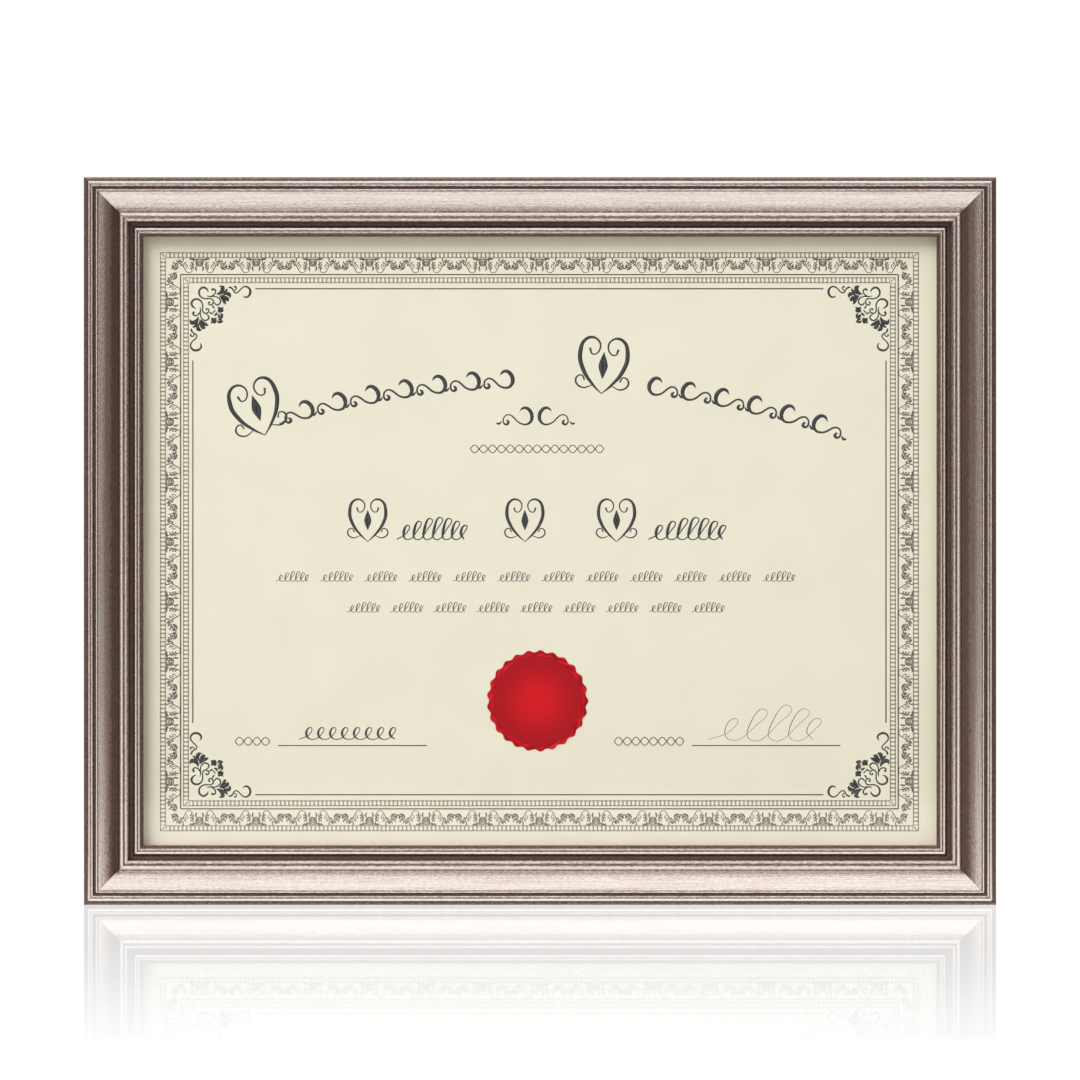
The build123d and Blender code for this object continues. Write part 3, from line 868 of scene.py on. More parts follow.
# %% [markdown]
# ## Rules and bead chains
#
# Two chains of beads run round the sheet, each between two fine rules. A bead is an oval ring: a closed
# stroke of four points. The rings just touch, and two wedges fill what is left between them and the
# rules, so the chain reads as light ovals on a dark band. The number of beads on a side follows from its
# length, so that whole beads meet at the corners.

# %% Rules and bead chains
bead_pitch = 1.43
bead_gap = 0.14
chain_width = 2.05
rule_width = 0.27
rule_gap = 0.25
outer_chain = (130.4, 99.5)
inner_chain = (122.5, 90.9)
line_box = (123.3, 91.8)
line_width = 0.42
level_line = (97.6, 86.95)
upright_line = (119.1, 62.3)


four_corners = [(side_x, side_y) for side_x in (-1, 1) for side_y in (-1, 1)]


def level_rule(half_length, down, width):
    """A level rule, with its middle on the upright axis."""
    return [(-half_length, down, width), (half_length, down, width)]


def upright_rule(right, half_length, width):
    """An upright rule, with its middle on the level axis."""
    return [(right, -half_length, width), (right, half_length, width)]


def box_rules(half_width, half_height, width):
    """Four rules round a rectangle."""
    return [
        rule for side in (-1, 1) for rule in (
            upright_rule(side * half_width, half_height, width),
            level_rule(half_width, side * half_height, width),
        )
    ]


bead_half = (bead_pitch - bead_gap) / 2
bead_reach = (chain_width - rule_gap) / 2
ring = [(bead_half, 0, 0.22), (0, bead_reach, 0.2), (-bead_half, 0, 0.22), (0, -bead_reach, 0.2)]
bead = drawing("bead", [ring], MM, closed=True)
wedges = [[(0, side * 0.28, 0.12), (0, side * bead_reach, 0.48)] for side in (-1, 1)]
wedge_pair = drawing("wedge_pair", wedges, MM, steps=1)
leaf = [(-0.75, -0.75, 0.1), (-0.1, -0.45, 0.25), (0.75, 0.75, 0.1), (0.45, 0.1, 0.25)]
corner_bead = drawing("corner_bead", [leaf], MM, closed=True)


def on_side(mesh, turn, along, distance, wide=1.0):
    """A stamp on one side of the border: turn 0 is the top, 180 the bottom, -90 the right, 90 the left."""
    place = (along, distance) if turn in (0, 180) else (distance, along)
    return stamp(mesh, *place, turn, wide=wide)


def chain(half_width, half_height):
    """Stamps of beads round a rectangle, given its outer half sizes."""
    middle_x = half_width - chain_width / 2
    middle_y = half_height - chain_width / 2
    stamps = []
    for length, distance, turn in (
        (2 * half_width, middle_y, 0), (2 * half_width, -middle_y, 180),
        (2 * half_height, middle_x, -90), (2 * half_height, -middle_x, 90),
    ):
        room = length - 2 * chain_width
        count = round(room / bead_pitch)
        pitch = room / count
        for half_step in range(2 * count - 1):
            along = (half_step - (count - 1)) * pitch / 2
            if half_step % 2:
                stamps.append(on_side(wedge_pair, turn, along, distance))
            else:
                stamps.append(on_side(bead, turn, along, distance, wide=pitch / bead_pitch))
    for side_x, side_y in four_corners:
        place = (side_x * middle_x, side_y * middle_y)
        stamps.append(stamp(corner_bead, *place, wide=-side_x, high=side_y))
    return stamps


chain_rules = []
for half_width, half_height in (outer_chain, inner_chain):
    for inset in (rule_width / 2, chain_width - rule_width / 2):
        chain_rules += box_rules(half_width - inset, half_height - inset, rule_width)
chain_lines = drawing("chain_lines", chain_rules, MM, steps=1)
assembled("bead_chains", chain(*outer_chain) + chain(*inner_chain) + [stamp(chain_lines, 0, 0)], bead_ink)

line_rules = box_rules(*line_box, line_width)
for side in (-1, 1):
    line_rules.append(level_rule(level_line[0], side * level_line[1], line_width))
    line_rules.append(upright_rule(side * upright_line[0], upright_line[1], line_width))
lines = drawing("border_rules", line_rules, MM, steps=1)
assembled("border_rules", [stamp(lines, 0, 0)], border_ink)

# %% [markdown]
# ## The flower band
#
# Between the outer beads and the dark rule runs a garland of small roses, leaves and tendrils. Only
# half of one rose's share is drawn: everything else is that half mirrored and repeated, thirteen times
# along the level sides and nine times along the upright ones.

# %% The flower band
band_grid = 0.1754 * MM
half_garland = [
    [(0, -6.4, 1.6), (4.6, -4.8, 2.4), (6.6, 0.4, 2.6), (4.6, 5.4, 2.6), (0, 7.4, 1.8)],
    [(0, -2.6, 1.4), (3.2, -1, 2.2), (2.8, 2.8, 2.2), (0, 4.2, 1.6)],
    [(0, -0.2, 1.8), (0.6, 1.4, 1.8)],
    [(4, -6, 1), (6.8, -6.4, 1.8), (8.4, -3.2, 0.8)],
    [(5.6, 6.4, 0.8), (7.2, 9.8, 2.8), (6.6, 14, 2.8), (5.6, 17.4, 0.6)],
    [(10.6, -3.4, 0.6), (13.6, 2, 2), (13.8, 8, 1.6), (15.2, 13, 2.4), (14.2, 18, 0.8)],
    [(8, -4, 1.2), (11.6, -7.2, 2.4), (14.6, -9.4, 1)],
    [(10.6, -3.4, 1.2), (14.2, -6.2, 3), (18.6, -7, 2.8), (17.2, -9.6, 0.8)],
    [(14, 2.4, 0.8), (16.8, 0.4, 2), (16.2, -1.6, 0.6)],
    [(14.2, 7.8, 0.8), (17.4, 6, 2.2), (17.4, 3.6, 0.6)],
    [(14.8, 12.6, 0.8), (18, 11.4, 2), (17.6, 8.8, 0.6)],
    [(13.4, 1.6, 0.6), (11.2, 4.6, 1.6), (11.6, 7.6, 0.6)],
    [(14, 7.4, 0.6), (11.6, 10.4, 1.6), (12.2, 13.6, 0.6)],
    [(14.4, 17.2, 0.6), (17.4, 19.6, 0.9), (21.6, 20.4, 1), (26, 17.8, 1.2), (28.8, 12.8, 1.2),
     (31.6, 8.2, 1.2), (36, 3.6, 1.4), (41.4, 1.4, 0.8)],
    [(28, 13.6, 0.6), (24, 9.8, 1), (23.4, 6.6, 1.2), (26.2, 4.4, 1.2), (28.4, 6.8, 0.8),
     (26.8, 8.6, 1.2)],
    [(31.4, 8, 0.8), (30.6, 3.4, 1.2), (28, 1.2, 2.4), (26, -0.6, 1.4)],
    [(33.6, 5.6, 0.6), (34, 0.6, 1.2), (31.6, -3.4, 1.6), (32.4, -6.6, 2), (30.6, -8, 0.8)],
    [(34.2, -0.4, 0.8), (37.8, -3.8, 2), (41.6, -5.6, 1)],
    [(34.6, 4, 2.2), (36, 6.2, 1.8), (38.2, 5, 0.6)],
    [(36.6, 1.8, 0.8), (39.2, -1.6, 2.6), (42, -2.6, 0.8)],
    [(40.4, 1.6, 1), (43.4, -1.6, 2.6), (45.6, -4.4, 0.8)],
    [(41, 4.6, 0.8), (43.6, 3.4, 2.4), (45.4, 0.8, 0.8)],
    [(40.8, 7.4, 1), (43.8, 11, 3.2), (46, 14.6, 1)],
    [(45.4, 11.4, 1), (48.6, 13.6, 3.2), (52.2, 12.6, 0.8)],
    [(44.6, 7.6, 1), (47.4, 5, 3.2), (49, 0.8, 0.8)],
    [(48.4, 10.4, 1.2), (51.4, 7.6, 3.2), (52.4, 3.4, 0.8)],
    [(49.8, 2.6, 1), (51, 0, 2.2), (50.4, -2.4, 0.6)],
    [(52.6, 11, 1.2), (55.5, 12.6, 2.8)],
    [(42.2, 7.2, 2), (44, 5.8, 1.2)],
    [(44.6, 9.6, 1.8), (47.4, 9.8, 2.2), (49, 8, 0.8)],
    [(50.4, 10.6, 2), (53, 9.6, 1.8), (54.2, 6.4, 0.8)],
    [(45, 2.6, 2), (46.8, 0.4, 1.2)],
    [(37.4, 1.2, 1.8), (36.8, -2, 0.8)],
]
garland = drawing("garland", half_garland, band_grid, mirrored=True, steps=2, bold=0.4)
drawn_pitch = 19.47
# turn, distance from the border's middle, number of roses and their pitch
garland_sides = [
    (0, 96.0, 13, drawn_pitch), (180, -96.0, 13, drawn_pitch),
    (-90, 127.05, 9, 20.6), (90, -127.05, 9, 20.6),
]
garlands = []
for turn, distance, count, pitch in garland_sides:
    for index in range(count):
        along = (index - (count - 1) / 2) * pitch
        garlands.append(on_side(garland, turn, along, distance, wide=pitch / drawn_pitch))
assembled("flower_band", garlands, flower_ink)

# %% [markdown]
# ## The corner flourishes
#
# Each corner holds a scroll of leaves that is the same on both sides of its diagonal. So one half is
# drawn, and the other half is the same drawing with right and down exchanged. The four corners are then
# four mirror images of one.

# %% The corner flourishes
corner_grid = 0.1534 * MM
half_corner = [
    [(96.5, 9.5, 0.6), (100, 9.1, 3.6), (104, 10.8, 3), (106.5, 13.8, 1.8), (109, 18.3, 2),
     (113, 21.3, 2.2), (118, 19.5, 2), (123, 14.3, 2), (128.5, 9.3, 2.2), (135, 7.1, 2.6),
     (141.5, 9.8, 3.6), (145.5, 16.3, 4.4), (144.5, 24.3, 4.4), (140, 30.1, 3.6), (134, 30.8, 2.6),
     (129, 28.1, 0.6)],
    [(109.2, 8.3, 3.4), (112, 7.3, 2.6), (114.5, 10.8, 1.8), (112.5, 14.5, 1.6), (109.5, 15.1, 1.4),
     (107.3, 14, 0.8)],
    [(51.5, 19.5, 0.8), (49.5, 14.8, 2.6), (45, 10.5, 3.8), (40, 9.3, 4), (34.5, 11.8, 3.8),
     (31.2, 17.3, 3.6), (31.2, 24.3, 3.4), (34.5, 29.8, 2.8), (40, 33.3, 2.2), (47, 34.6, 2.2),
     (54, 34.1, 2), (60, 35.8, 2.2), (62.8, 40.3, 2.4), (61, 45.8, 2.4), (56.5, 48.5, 2.2),
     (52.7, 46.3, 1.8), (53, 42.6, 2.4), (55.8, 42.8, 3.8)],
    [(48, 28.1, 0.4), (56, 29.8, 2.2), (64, 29.1, 1.8), (70, 30.3, 2), (76, 34.3, 2.4),
     (78.8, 39.8, 2.6), (76.5, 45.8, 2.6), (71.2, 48.5, 2.6), (67, 45.8, 2.2), (65.2, 42.3, 1)],
    [(59.5, 16, 4.8), (61.5, 13.2, 3.6), (66, 13.8, 2.6), (68, 18.3, 2.4), (66, 23.5, 2.2),
     (61, 27.8, 2.4), (56, 30.1, 1.6)],
    [(70, 25.1, 1), (76.6, 21.4, 4), (82.2, 16.2, 8), (83.4, 9.8, 9.2), (80, 7.2, 4.4), (75.6, 6.3, 0.4)],
    [(73, 25.5, 0.6), (81, 22.8, 3.2), (88.4, 19.2, 5), (92.6, 15.2, 4.6), (93.4, 11.2, 0.4)],
    [(76, 27.9, 0.4), (85, 26.6, 1.8), (91.6, 23.4, 5.6), (97, 24.3, 9), (99.8, 28, 5.6),
     (99.4, 32.4, 0.6)],
    [(76, 30.3, 0.8), (83, 30.3, 4.2), (89.8, 32.4, 8.2), (94.2, 36.2, 8.6), (95.6, 40.6, 1.6)],
    [(78.5, 32.2, 0.8), (83, 35.4, 4.6), (86.8, 40.4, 6.8), (88.8, 44.2, 4.8), (89.4, 47.6, 0.4)],
    [(62.5, 48.8, 1), (61.7, 51.3, 2.6), (63.6, 54.6, 2.8), (65.5, 56.3, 0.6)],
    [(60.5, 66.8, 0.8), (64, 63.8, 2.2), (67.6, 59.6, 1.2)],
    [(73, 53.4, 1.6), (76.2, 56.2, 5.6), (80.6, 56.6, 5.8), (85.6, 53, 0.6)],
    [(72.6, 61, 4.6), (78, 62.4, 6.6), (83.2, 60.6, 5.6), (85, 58, 0.6)],
    [(72.5, 66, 0.4), (70.4, 70.4, 1.8), (66, 72.5, 0.4)],
    [(78.6, 68, 1.6), (82, 70.4, 5), (80.6, 75.6, 6.4), (78.4, 78.4, 6)],
    [(74.4, 68.4, 0.8), (75.8, 72.4, 4.4), (74, 74, 6)],
]
halves_apart = 0.7 * MM
swap_sides = Matrix(((0, -1, 0, halves_apart), (-1, 0, 0, -halves_apart), (0, 0, 1, 0), (0, 0, 0, 1)))
flourish = drawing("flourish", half_corner, corner_grid, bold=0.8)
corner_right, corner_up = 121.7, 88.8
flourishes = []
for side_x, side_y in four_corners:
    mesh, place = stamp(flourish, side_x * corner_right, side_y * corner_up, wide=-side_x, high=side_y)
    flourishes += [(mesh, place), (mesh, place @ swap_sides)]
assembled("corner_flourishes", flourishes, dark_ink)

# %% [markdown]
# ## The scrolls in the middle
#
# A pair of S-scrolls parts the heading from the rest. The heading and the large words of a certificate
# belong to whoever it was made for. Their places hold ornaments of the printer's common stock instead:
# a frieze of the same S-scroll set along an arch, with a lyre in place of each large letter, and three
# more lyres lower down.

# %% The scrolls in the middle
scroll_grid = 0.3507 * MM
half_scroll = [
    [(-15.7, 18, 0.2), (-13.2, 15, 2), (-9.7, 14.2, 2.8), (-5.8, 16.8, 3.5), (-3.6, 22.4, 3.6),
     (-4.8, 27.4, 2.8), (-8.2, 30.2, 2), (-12.2, 30.3, 1.6), (-16.7, 28.4, 1.4), (-21.2, 24, 1.4),
     (-24.2, 21.6, 1.3), (-27.4, 21, 1.2), (-30.4, 22.7, 1.2), (-31.7, 26.2, 1.3), (-31, 29.4, 1.5),
     (-28.8, 30.4, 2.2), (-26.8, 29, 2.6), (-27.6, 26.6, 1.6), (-29, 26.2, 0.4)],
    [(-33.2, 27, 0.3), (-34.5, 28.8, 1.4), (-36.4, 29.8, 2.2), (-38.6, 29, 1)],
]
divider = drawing("divider", half_scroll, scroll_grid, mirrored=True, steps=4)
scroll = drawing("scroll", half_scroll, scroll_grid, steps=3, bold=0.5)
middle_stamps = [stamp(divider, -1.3, 51.0)]

arch_radius = 308.0
arch_top = 55.2
scroll_rise = 8.6
scroll_pitch = 11.6


def on_arch(mesh, along, rise=0.0, wide=1.0, high=1.0):
    """A stamp that stands on the heading's arch, along millimetres from its top."""
    turn = -degrees(along / arch_radius)
    place = Matrix.Rotation(radians(turn), 4, "Z") @ Vector((0, arch_radius + rise, 0))
    return stamp(mesh, place.x, place.y - arch_radius + arch_top, turn, wide=wide, high=high)


for first, count, wide in ((-77.5, 7, 1.0), (36.5, 6, -1.0)):
    for index in range(count):
        middle_stamps.append(on_arch(scroll, first + index * scroll_pitch, scroll_rise, wide=wide))

half_lyre = [
    [(0, 10.5, 0.3), (3.2, 7.5, 0.9), (7.2, 2, 1.5), (8.6, -4, 1.6), (6.4, -9.2, 1.1), (2.6, -9, 0.7),
     (1.6, -5.4, 0.6), (4, -3.6, 0.5), (5.2, -5.8, 0.9)],
    [(3.2, 7.5, 0.3), (7.4, 8.6, 0.6), (9.6, 6, 0.7), (7.6, 4.2, 0.5), (6.4, 6, 0.6)],
    [(0, 5, 0.3), (0.8, 0.5, 1.8), (0, -4.5, 0.3)],
]
lyre = drawing("lyre", half_lyre, MM, mirrored=True, steps=5)
heading_lyre = 0.95
name_lyre = 0.72
for along in (-97.0, 21.5):
    middle_stamps.append(on_arch(lyre, along, 6.4, wide=heading_lyre, high=heading_lyre))
for right in (-59.0, -5.0, 26.5):
    middle_stamps.append(stamp(lyre, right, 7.6, wide=name_lyre, high=name_lyre))
assembled("middle_scrolls", middle_stamps, dark_ink)

# %% [markdown]
# ## Pen loops and plaits
#
# Where a certificate has writing, this one has a *running loop*, the oldest of the writing-master's
# exercises: thin on the way up, thick on the way down, the loops swelling towards the middle of each
# run. It is four points for each loop. Where a certificate has small capitals, this one has a *plait*:
# two waves that cross each other.

# %% Pen loops and plaits
sideways_share = 0.42


def pen_loops(count, pitch, high, thick, thin, tall=1.0, lean=0.5):
    """A run of loops on a base line, in millimetres, that swells towards its middle."""
    points = []
    for quarter in range(4 * count + 1):
        turn = quarter * pi / 2
        reach = high / 2 * (1 + (tall - 1) * sin(pi * (quarter - 1) / (4 * count - 2)))
        up = (1 - cos(turn)) * reach
        along = pitch * (quarter / 4 + sideways_share * sin(turn)) + up * lean
        width = thick if quarter % 4 == 3 else thin
        points.append((along, -up, width))
    return [points]


def plait(length, high, crossings, width):
    """Two crossing waves round the middle of a line, in millimetres."""
    strokes = []
    for side in (1, -1):
        strokes.append([
            ((step / (2 * crossings) - 0.5) * length, side * high / 2 * sin(step * pi / 2), width)
            for step in range(2 * crossings + 1)
        ])
    return strokes


short_run = drawing("short_run", pen_loops(6, 1.8, 2.0, 0.40, 0.2, tall=1.7), MM, steps=4)
name_run = drawing("name_run", pen_loops(7, 3.3, 4.4, 1.0, 0.38, tall=1.7), MM, steps=5)
date_run = drawing("date_run", pen_loops(8, 4.1, 4.0, 0.85, 0.3), MM, steps=5)
pen_flourish = drawing("pen_flourish", pen_loops(5, 7.2, 6.0, 0.26, 0.14, tall=1.9, lean=0.9), MM, steps=6)
heading_plait = drawing("heading_plait", plait(46.0, 2.7, 15, 0.3), MM, steps=3)
label_plait = drawing("label_plait", plait(12.0, 2.8, 4, 0.3), MM, steps=3)
long_label_plait = drawing("long_label_plait", plait(24.0, 2.8, 8, 0.3), MM, steps=3)
writing_stamps = [
    stamp(heading_plait, -0.8, 31.9),
    stamp(name_run, -49.0, 0.8),
    stamp(name_run, 37.5, 0.8, wide=1.1),
    stamp(date_run, -82.5, -67.9),
    stamp(pen_flourish, 58.0, -68.0),
    stamp(label_plait, -98.6, -68.6),
    stamp(long_label_plait, 37.7, -68.6),
]
for count, first, pitch, up in ((12, -90.5, 15.2, -13.6), (9, -66.0, 14.8, -24.2)):
    for index in range(count):
        writing_stamps.append(stamp(short_run, first + index * pitch, up))
assembled("pen_loops", writing_stamps, dark_ink)

rule_down = 70.05
rule_thick = 0.36
rule_ends = ((-89.9, -38.7), (52.4, 103.4))
rule_strokes = [[(right, rule_down, rule_thick) for right in ends] for ends in rule_ends]
writing_rules = drawing("writing_rules", rule_strokes, MM, steps=1)
assembled("writing_rules", [stamp(writing_rules, 0, 0)], border_ink)

# %% [markdown]
# ## The seal
#
# The seal is a disc of red foil paper with a crimped rim of 25 scallops. It starts as a circle. Its open
# edge is extruded again and again, each time a little larger and at another height, which gives the
# raised disc, the groove round it and the rim. At the end every point of the rim is moved in and out
# and up and down by a wave that turns with the radius: those are the pleats.

# %% The seal
seal_low, seal_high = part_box("seal")
seal_radius = 17.5 * MM
seal_middle = Vector((seal_high.x - seal_radius, seal_high.y, (seal_low.z + seal_high.z) / 2))
scallops = 25
steps_per_scallop = 8
scallop_depth = 0.4 * MM
pleat_height = 0.05 * MM
pleat_twist = 1.1
swirl_round = 2.6
swirl_outwards = 9.0
swirl_long = 5.0
foil_step = 1e-6
# radius and height in mm, share of the pleats
seal_rings = [
    (15.1, 0.33, 0.0), (15.45, 0.31, 0.0), (15.65, 0.20, 0.3), (16.0, 0.19, 0.8), (16.5, 0.21, 1.0),
    (17.0, 0.19, 1.0), (17.4, 0.14, 0.8), (17.5, 0.10, 0.4), (17.5, 0.0, 0.0),
]

seal_mesh = bmesh.new()


def open_edges():
    """The edges of the seal that have a face on one side only."""
    return [edge for edge in seal_mesh.edges if edge.is_boundary]


pleated = seal_mesh.verts.layers.float.new("pleated")
first_radius = seal_rings[0][0] * MM
segments = scallops * steps_per_scallop
bmesh.ops.create_circle(seal_mesh, cap_ends=True, radius=first_radius, segments=segments)
bmesh.ops.translate(seal_mesh, verts=seal_mesh.verts, vec=(0, 0, seal_rings[0][1] * MM))
for (radius, height, share), (next_radius, next_height, next_share) in zip(seal_rings, seal_rings[1:]):
    rim = open_edges()
    points = only(bmesh.types.BMVert, bmesh.ops.extrude_edge_only(seal_mesh, edges=rim)["geom"])
    ratio = next_radius / radius
    bmesh.ops.scale(seal_mesh, verts=points, vec=(ratio, ratio, 1))
    bmesh.ops.translate(seal_mesh, verts=points, vec=(0, 0, (next_height - height) * MM))
    for point in points:
        point[pleated] = next_share
bmesh.ops.contextual_create(seal_mesh, geom=open_edges())
groove_radius = seal_rings[2][0] * MM
for point in seal_mesh.verts:
    reach = point.co.xy.length
    if reach < groove_radius - foil_step:
        continue
    angle = atan2(point.co.y, point.co.x)
    out = (reach - groove_radius) / (seal_radius - groove_radius)
    point.co.xy *= 1 - scallop_depth * out * (1 - cos(scallops * angle)) / reach
    point.co.z += pleat_height * point[pleated] * cos(scallops * angle + pleat_twist * 2 * pi * out)
for face in seal_mesh.faces:
    face.smooth = len(face.verts) == 4
seal_data = as_mesh(seal_mesh, "foil_seal")


def red_foil():
    """Red foil paper with painted shading: brightest in the middle and darker towards the rim, with
    painted dark and light swirls where the rim is crimped.
    """
    material, tree, shader = new_finish("red_foil", Roughness=0.42, Specular_IOR_Level=0.12)
    offset = put(tree, "ShaderNodeVectorMath", {0: own_place(tree), 1: seal_middle}, operation="SUBTRACT")
    part = put(tree, "ShaderNodeSeparateXYZ", {0: offset.outputs[0]}).outputs
    flat = put(tree, "ShaderNodeCombineXYZ", {0: part[0], 1: part[2]}).outputs[0]
    reach = put(tree, "ShaderNodeVectorMath", {0: flat}, operation="LENGTH").outputs["Value"]
    out = worked(tree, "DIVIDE", reach, seal_radius)
    # painted shade: the flat disc is brighter in the middle and darker towards its edge
    disc_painted_shade = mixed(tree, ranged(tree, out, 0.1, 0.86), colour(208, 26, 34), colour(170, 23, 31))
    angle = worked(tree, "ARCTAN2", part[2], part[0])
    swirl = worked(tree, "ADD", product(tree, angle, swirl_round), product(tree, out, swirl_outwards))
    along = put(tree, "ShaderNodeCombineXYZ", {0: swirl, 1: product(tree, out, swirl_long)}).outputs[0]
    # painted light and shade of the crimped rim: these streaks give its dark and bright swirls
    streaks = put(tree, "ShaderNodeTexNoise", {"Vector": along, "Scale": 2.2, "Detail": 3.0}).outputs[0]
    rim = mixed(tree, ranged(tree, streaks, 0.42, 0.62), colour(150, 16, 26), colour(224, 30, 42))
    fill(shader, {"Base Color": mixed(tree, ranged(tree, out, 0.865, 0.90), disc_painted_shade, rim)})
    return material


foil_seal = assembled(
    "foil_seal", [(seal_data, Matrix.Translation(seal_middle) @ lie_on_sheet)], red_foil()
)
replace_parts(foil_seal, "seal")

# %% [markdown]
# ## Steel, board and felt
#
# What is left is the back. Its pieces are zinc-plated steel, hardboard, card and felt. Each finish is one
# function, so the same steel serves screws, buttons and hangers with other tones and wear.

# %% Steel, board and felt
def plated_steel(name, tone, roughness, wear):
    """Zinc or nickel on pressed steel: cloudy, with faint rolling marks and a few dull spots."""
    material, tree, shader = new_finish(name, Metallic=1.0)
    place = own_place(tree)
    cloud = placed(tree, mottled, Place=place, Size=4 * MM)["Value"]
    rolling = placed(
        tree, brushed, Place=place, Fleck_Length=6 * MM, Streak_Length=30 * MM, Thickness=0.3 * MM
    )
    spots = ranged(tree, cloud, 0.45, 0.75, 0.0, wear)
    fill(shader, {"Base Color": mixed(tree, spots, tone, toned(tone, 0.62))})
    rough = ranged(tree, rolling["Flecks"], 0.3, 0.7, roughness * 0.8, roughness * 1.3)
    fill(shader, {"Roughness": rough})
    bumped(tree, shader, rolling["Streaks"], 0.02 * MM)
    return material


def pressed_board(name, pale, dark, speckle, bump):
    """Hardboard or card: felted fibres, with dark and pale specks pressed in."""
    material, tree, shader = new_finish(name, Roughness=0.82)
    place = own_place(tree)
    fibre = placed(tree, fibres, Place=place, Size=1.6 * MM)["Value"]
    cloud = placed(tree, mottled, Place=place, Size=30 * MM)["Value"]
    body = mixed(tree, ranged(tree, cloud, 0.3, 0.7), pale, dark)
    specks = ranged(tree, fibre, 0.52, 0.68, 0.0, speckle)
    fill(shader, {"Base Color": mixed(tree, specks, body, toned(dark, 0.45))})
    bumped(tree, shader, fibre, bump)
    return material


def wool_felt(name, tone):
    """Wool felt: matt, with a soft sheen, and shade painted into the hollows between its fibres."""
    material, tree, shader = new_finish(name, Roughness=1.0, Sheen_Weight=0.25)
    fibre = placed(tree, fibres, Place=own_place(tree), Size=0.9 * MM)["Value"]
    raised = ranged(tree, fibre, 0.35, 0.65)
    # painted shade: the felt is darker where its fibre bump is low
    fill(shader, {"Base Color": mixed(tree, raised, toned(tone, 0.45), tone)})
    bumped(tree, shader, fibre, 0.3 * MM)
    return material


zinc = plated_steel("zinc_steel", colour(196, 197, 198), 0.34, 0.8)
bright_zinc = plated_steel("bright_zinc", colour(214, 212, 205), 0.26, 0.5)
blued = plated_steel("blued_steel", colour(120, 122, 128), 0.38, 0.8)
hardboard = pressed_board("hardboard", colour(132, 100, 70), colour(122, 91, 63), 0.5, 0.08 * MM)
black_board = pressed_board("black_board", colour(46, 44, 43), colour(38, 36, 35), 0.4, 0.06 * MM)
grey_card = pressed_board("grey_card", colour(206, 200, 188), colour(192, 186, 174), 0.25, 0.03 * MM)

for node, finish in {
    "corner_wedges": blued, "filler_card": grey_card, "backing_board": hardboard, "stand_leg": black_board,
    "stand_board_leaf": zinc, "stand_leg_leaf": zinc, "stand_pin": bright_zinc,
    "top_hanger": bright_zinc, "side_hanger": bright_zinc,
}.items():
    finish_node(node, finish)

button_names = [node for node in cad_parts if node.startswith("turn_button_")]
button_names.remove("turn_button_screws")
for node in button_names:
    finish_node(node, zinc)
print("finished", len(button_names), "turn buttons and the plates on the back")

# %% [markdown]
# ## Pressed edges
#
# Plates that are cut and bent by a press have edges that are slightly round, and that thin bright
# line along every edge is what makes steel look like steel. A bevel modifier with a small width
# adds it to the solids and leaves their own meshes alone.

# %% Pressed edges
edge_from = radians(40)


def softened(node, width):
    """Rounds the sharp edges of a CAD solid."""
    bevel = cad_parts[node].modifiers.new("pressed_edge", "BEVEL")
    bevel.width = width
    bevel.segments = 2
    bevel.limit_method = "ANGLE"
    bevel.angle_limit = edge_from
    bevel.use_clamp_overlap = True


for node in button_names:
    softened(node, 0.15 * MM)
for node in ("top_hanger", "side_hanger", "stand_board_leaf", "stand_leg_leaf"):
    softened(node, 0.12 * MM)
softened("stand_leg", 0.3 * MM)
print("edges sharper than", round(degrees(edge_from)), "degrees are rounded")

# %% [markdown]
# ## Turned fasteners
#
# Screws, nails and rivets are turned bodies. Each is one outline, from its tip up to the crown of
# its head, spun once round its axis. A screw's slot is made without a boolean: the top of the head is
# cut by a plane at either side of the slot, and the two caps that are left sit on the rest of the head.

# %% Turned fasteners
into_wood = Matrix(((1, 0, 0, 0), (0, 0, 1, 0), (0, -1, 0, 0), (0, 0, 0, 1)))
turning_steps = 28
flat_cheek = 0.99
nail_rise = 0.5
rivet_rise = 0.7


def turned(outline):
    """Spins an outline of (radius, height) points in millimetres into a closed body."""
    body = bmesh.new()
    points = [body.verts.new((radius * MM, 0, height * MM)) for radius, height in outline]
    chain = [body.edges.new(pair) for pair in zip(points, points[1:])]
    bmesh.ops.spin(
        body, geom=points + chain, cent=(0, 0, 0), axis=(0, 0, 1), dvec=(0, 0, 0), angle=2 * pi,
        steps=turning_steps, use_merge=True, use_duplicate=False,
    )
    bmesh.ops.remove_doubles(body, verts=body.verts, dist=weld)
    bmesh.ops.recalc_face_normals(body, faces=body.faces)
    for face in body.faces:
        face.smooth = True
    for edge in body.edges:
        edge.smooth = edge.calc_face_angle(0) < edge_from
    return body


def crown(radius, base, rise, steps=5):
    """Outline of a head: its edge, then an arc up to the middle."""
    return [(radius, base)] + [
        (radius * cos(i * pi / 2 / steps), base + 0.25 * rise + 0.75 * rise * sin(i * pi / 2 / steps))
        for i in range(steps + 1)
    ]


def slotted_caps(radius, base, rise, slot):
    """The part of a crown that a slot leaves: two caps with flat cheeks."""
    caps = []
    for side in (-1, 1):
        cap = turned([(0, base)] + crown(radius, base, rise))
        sliced(cap, (side * slot / 2 * MM, 0, 0), (-side, 0, 0))
        for face in cap.faces:
            face.smooth = abs(face.normal.x) < flat_cheek
        caps.append(as_mesh(cap, "screw_cap"))
    return caps


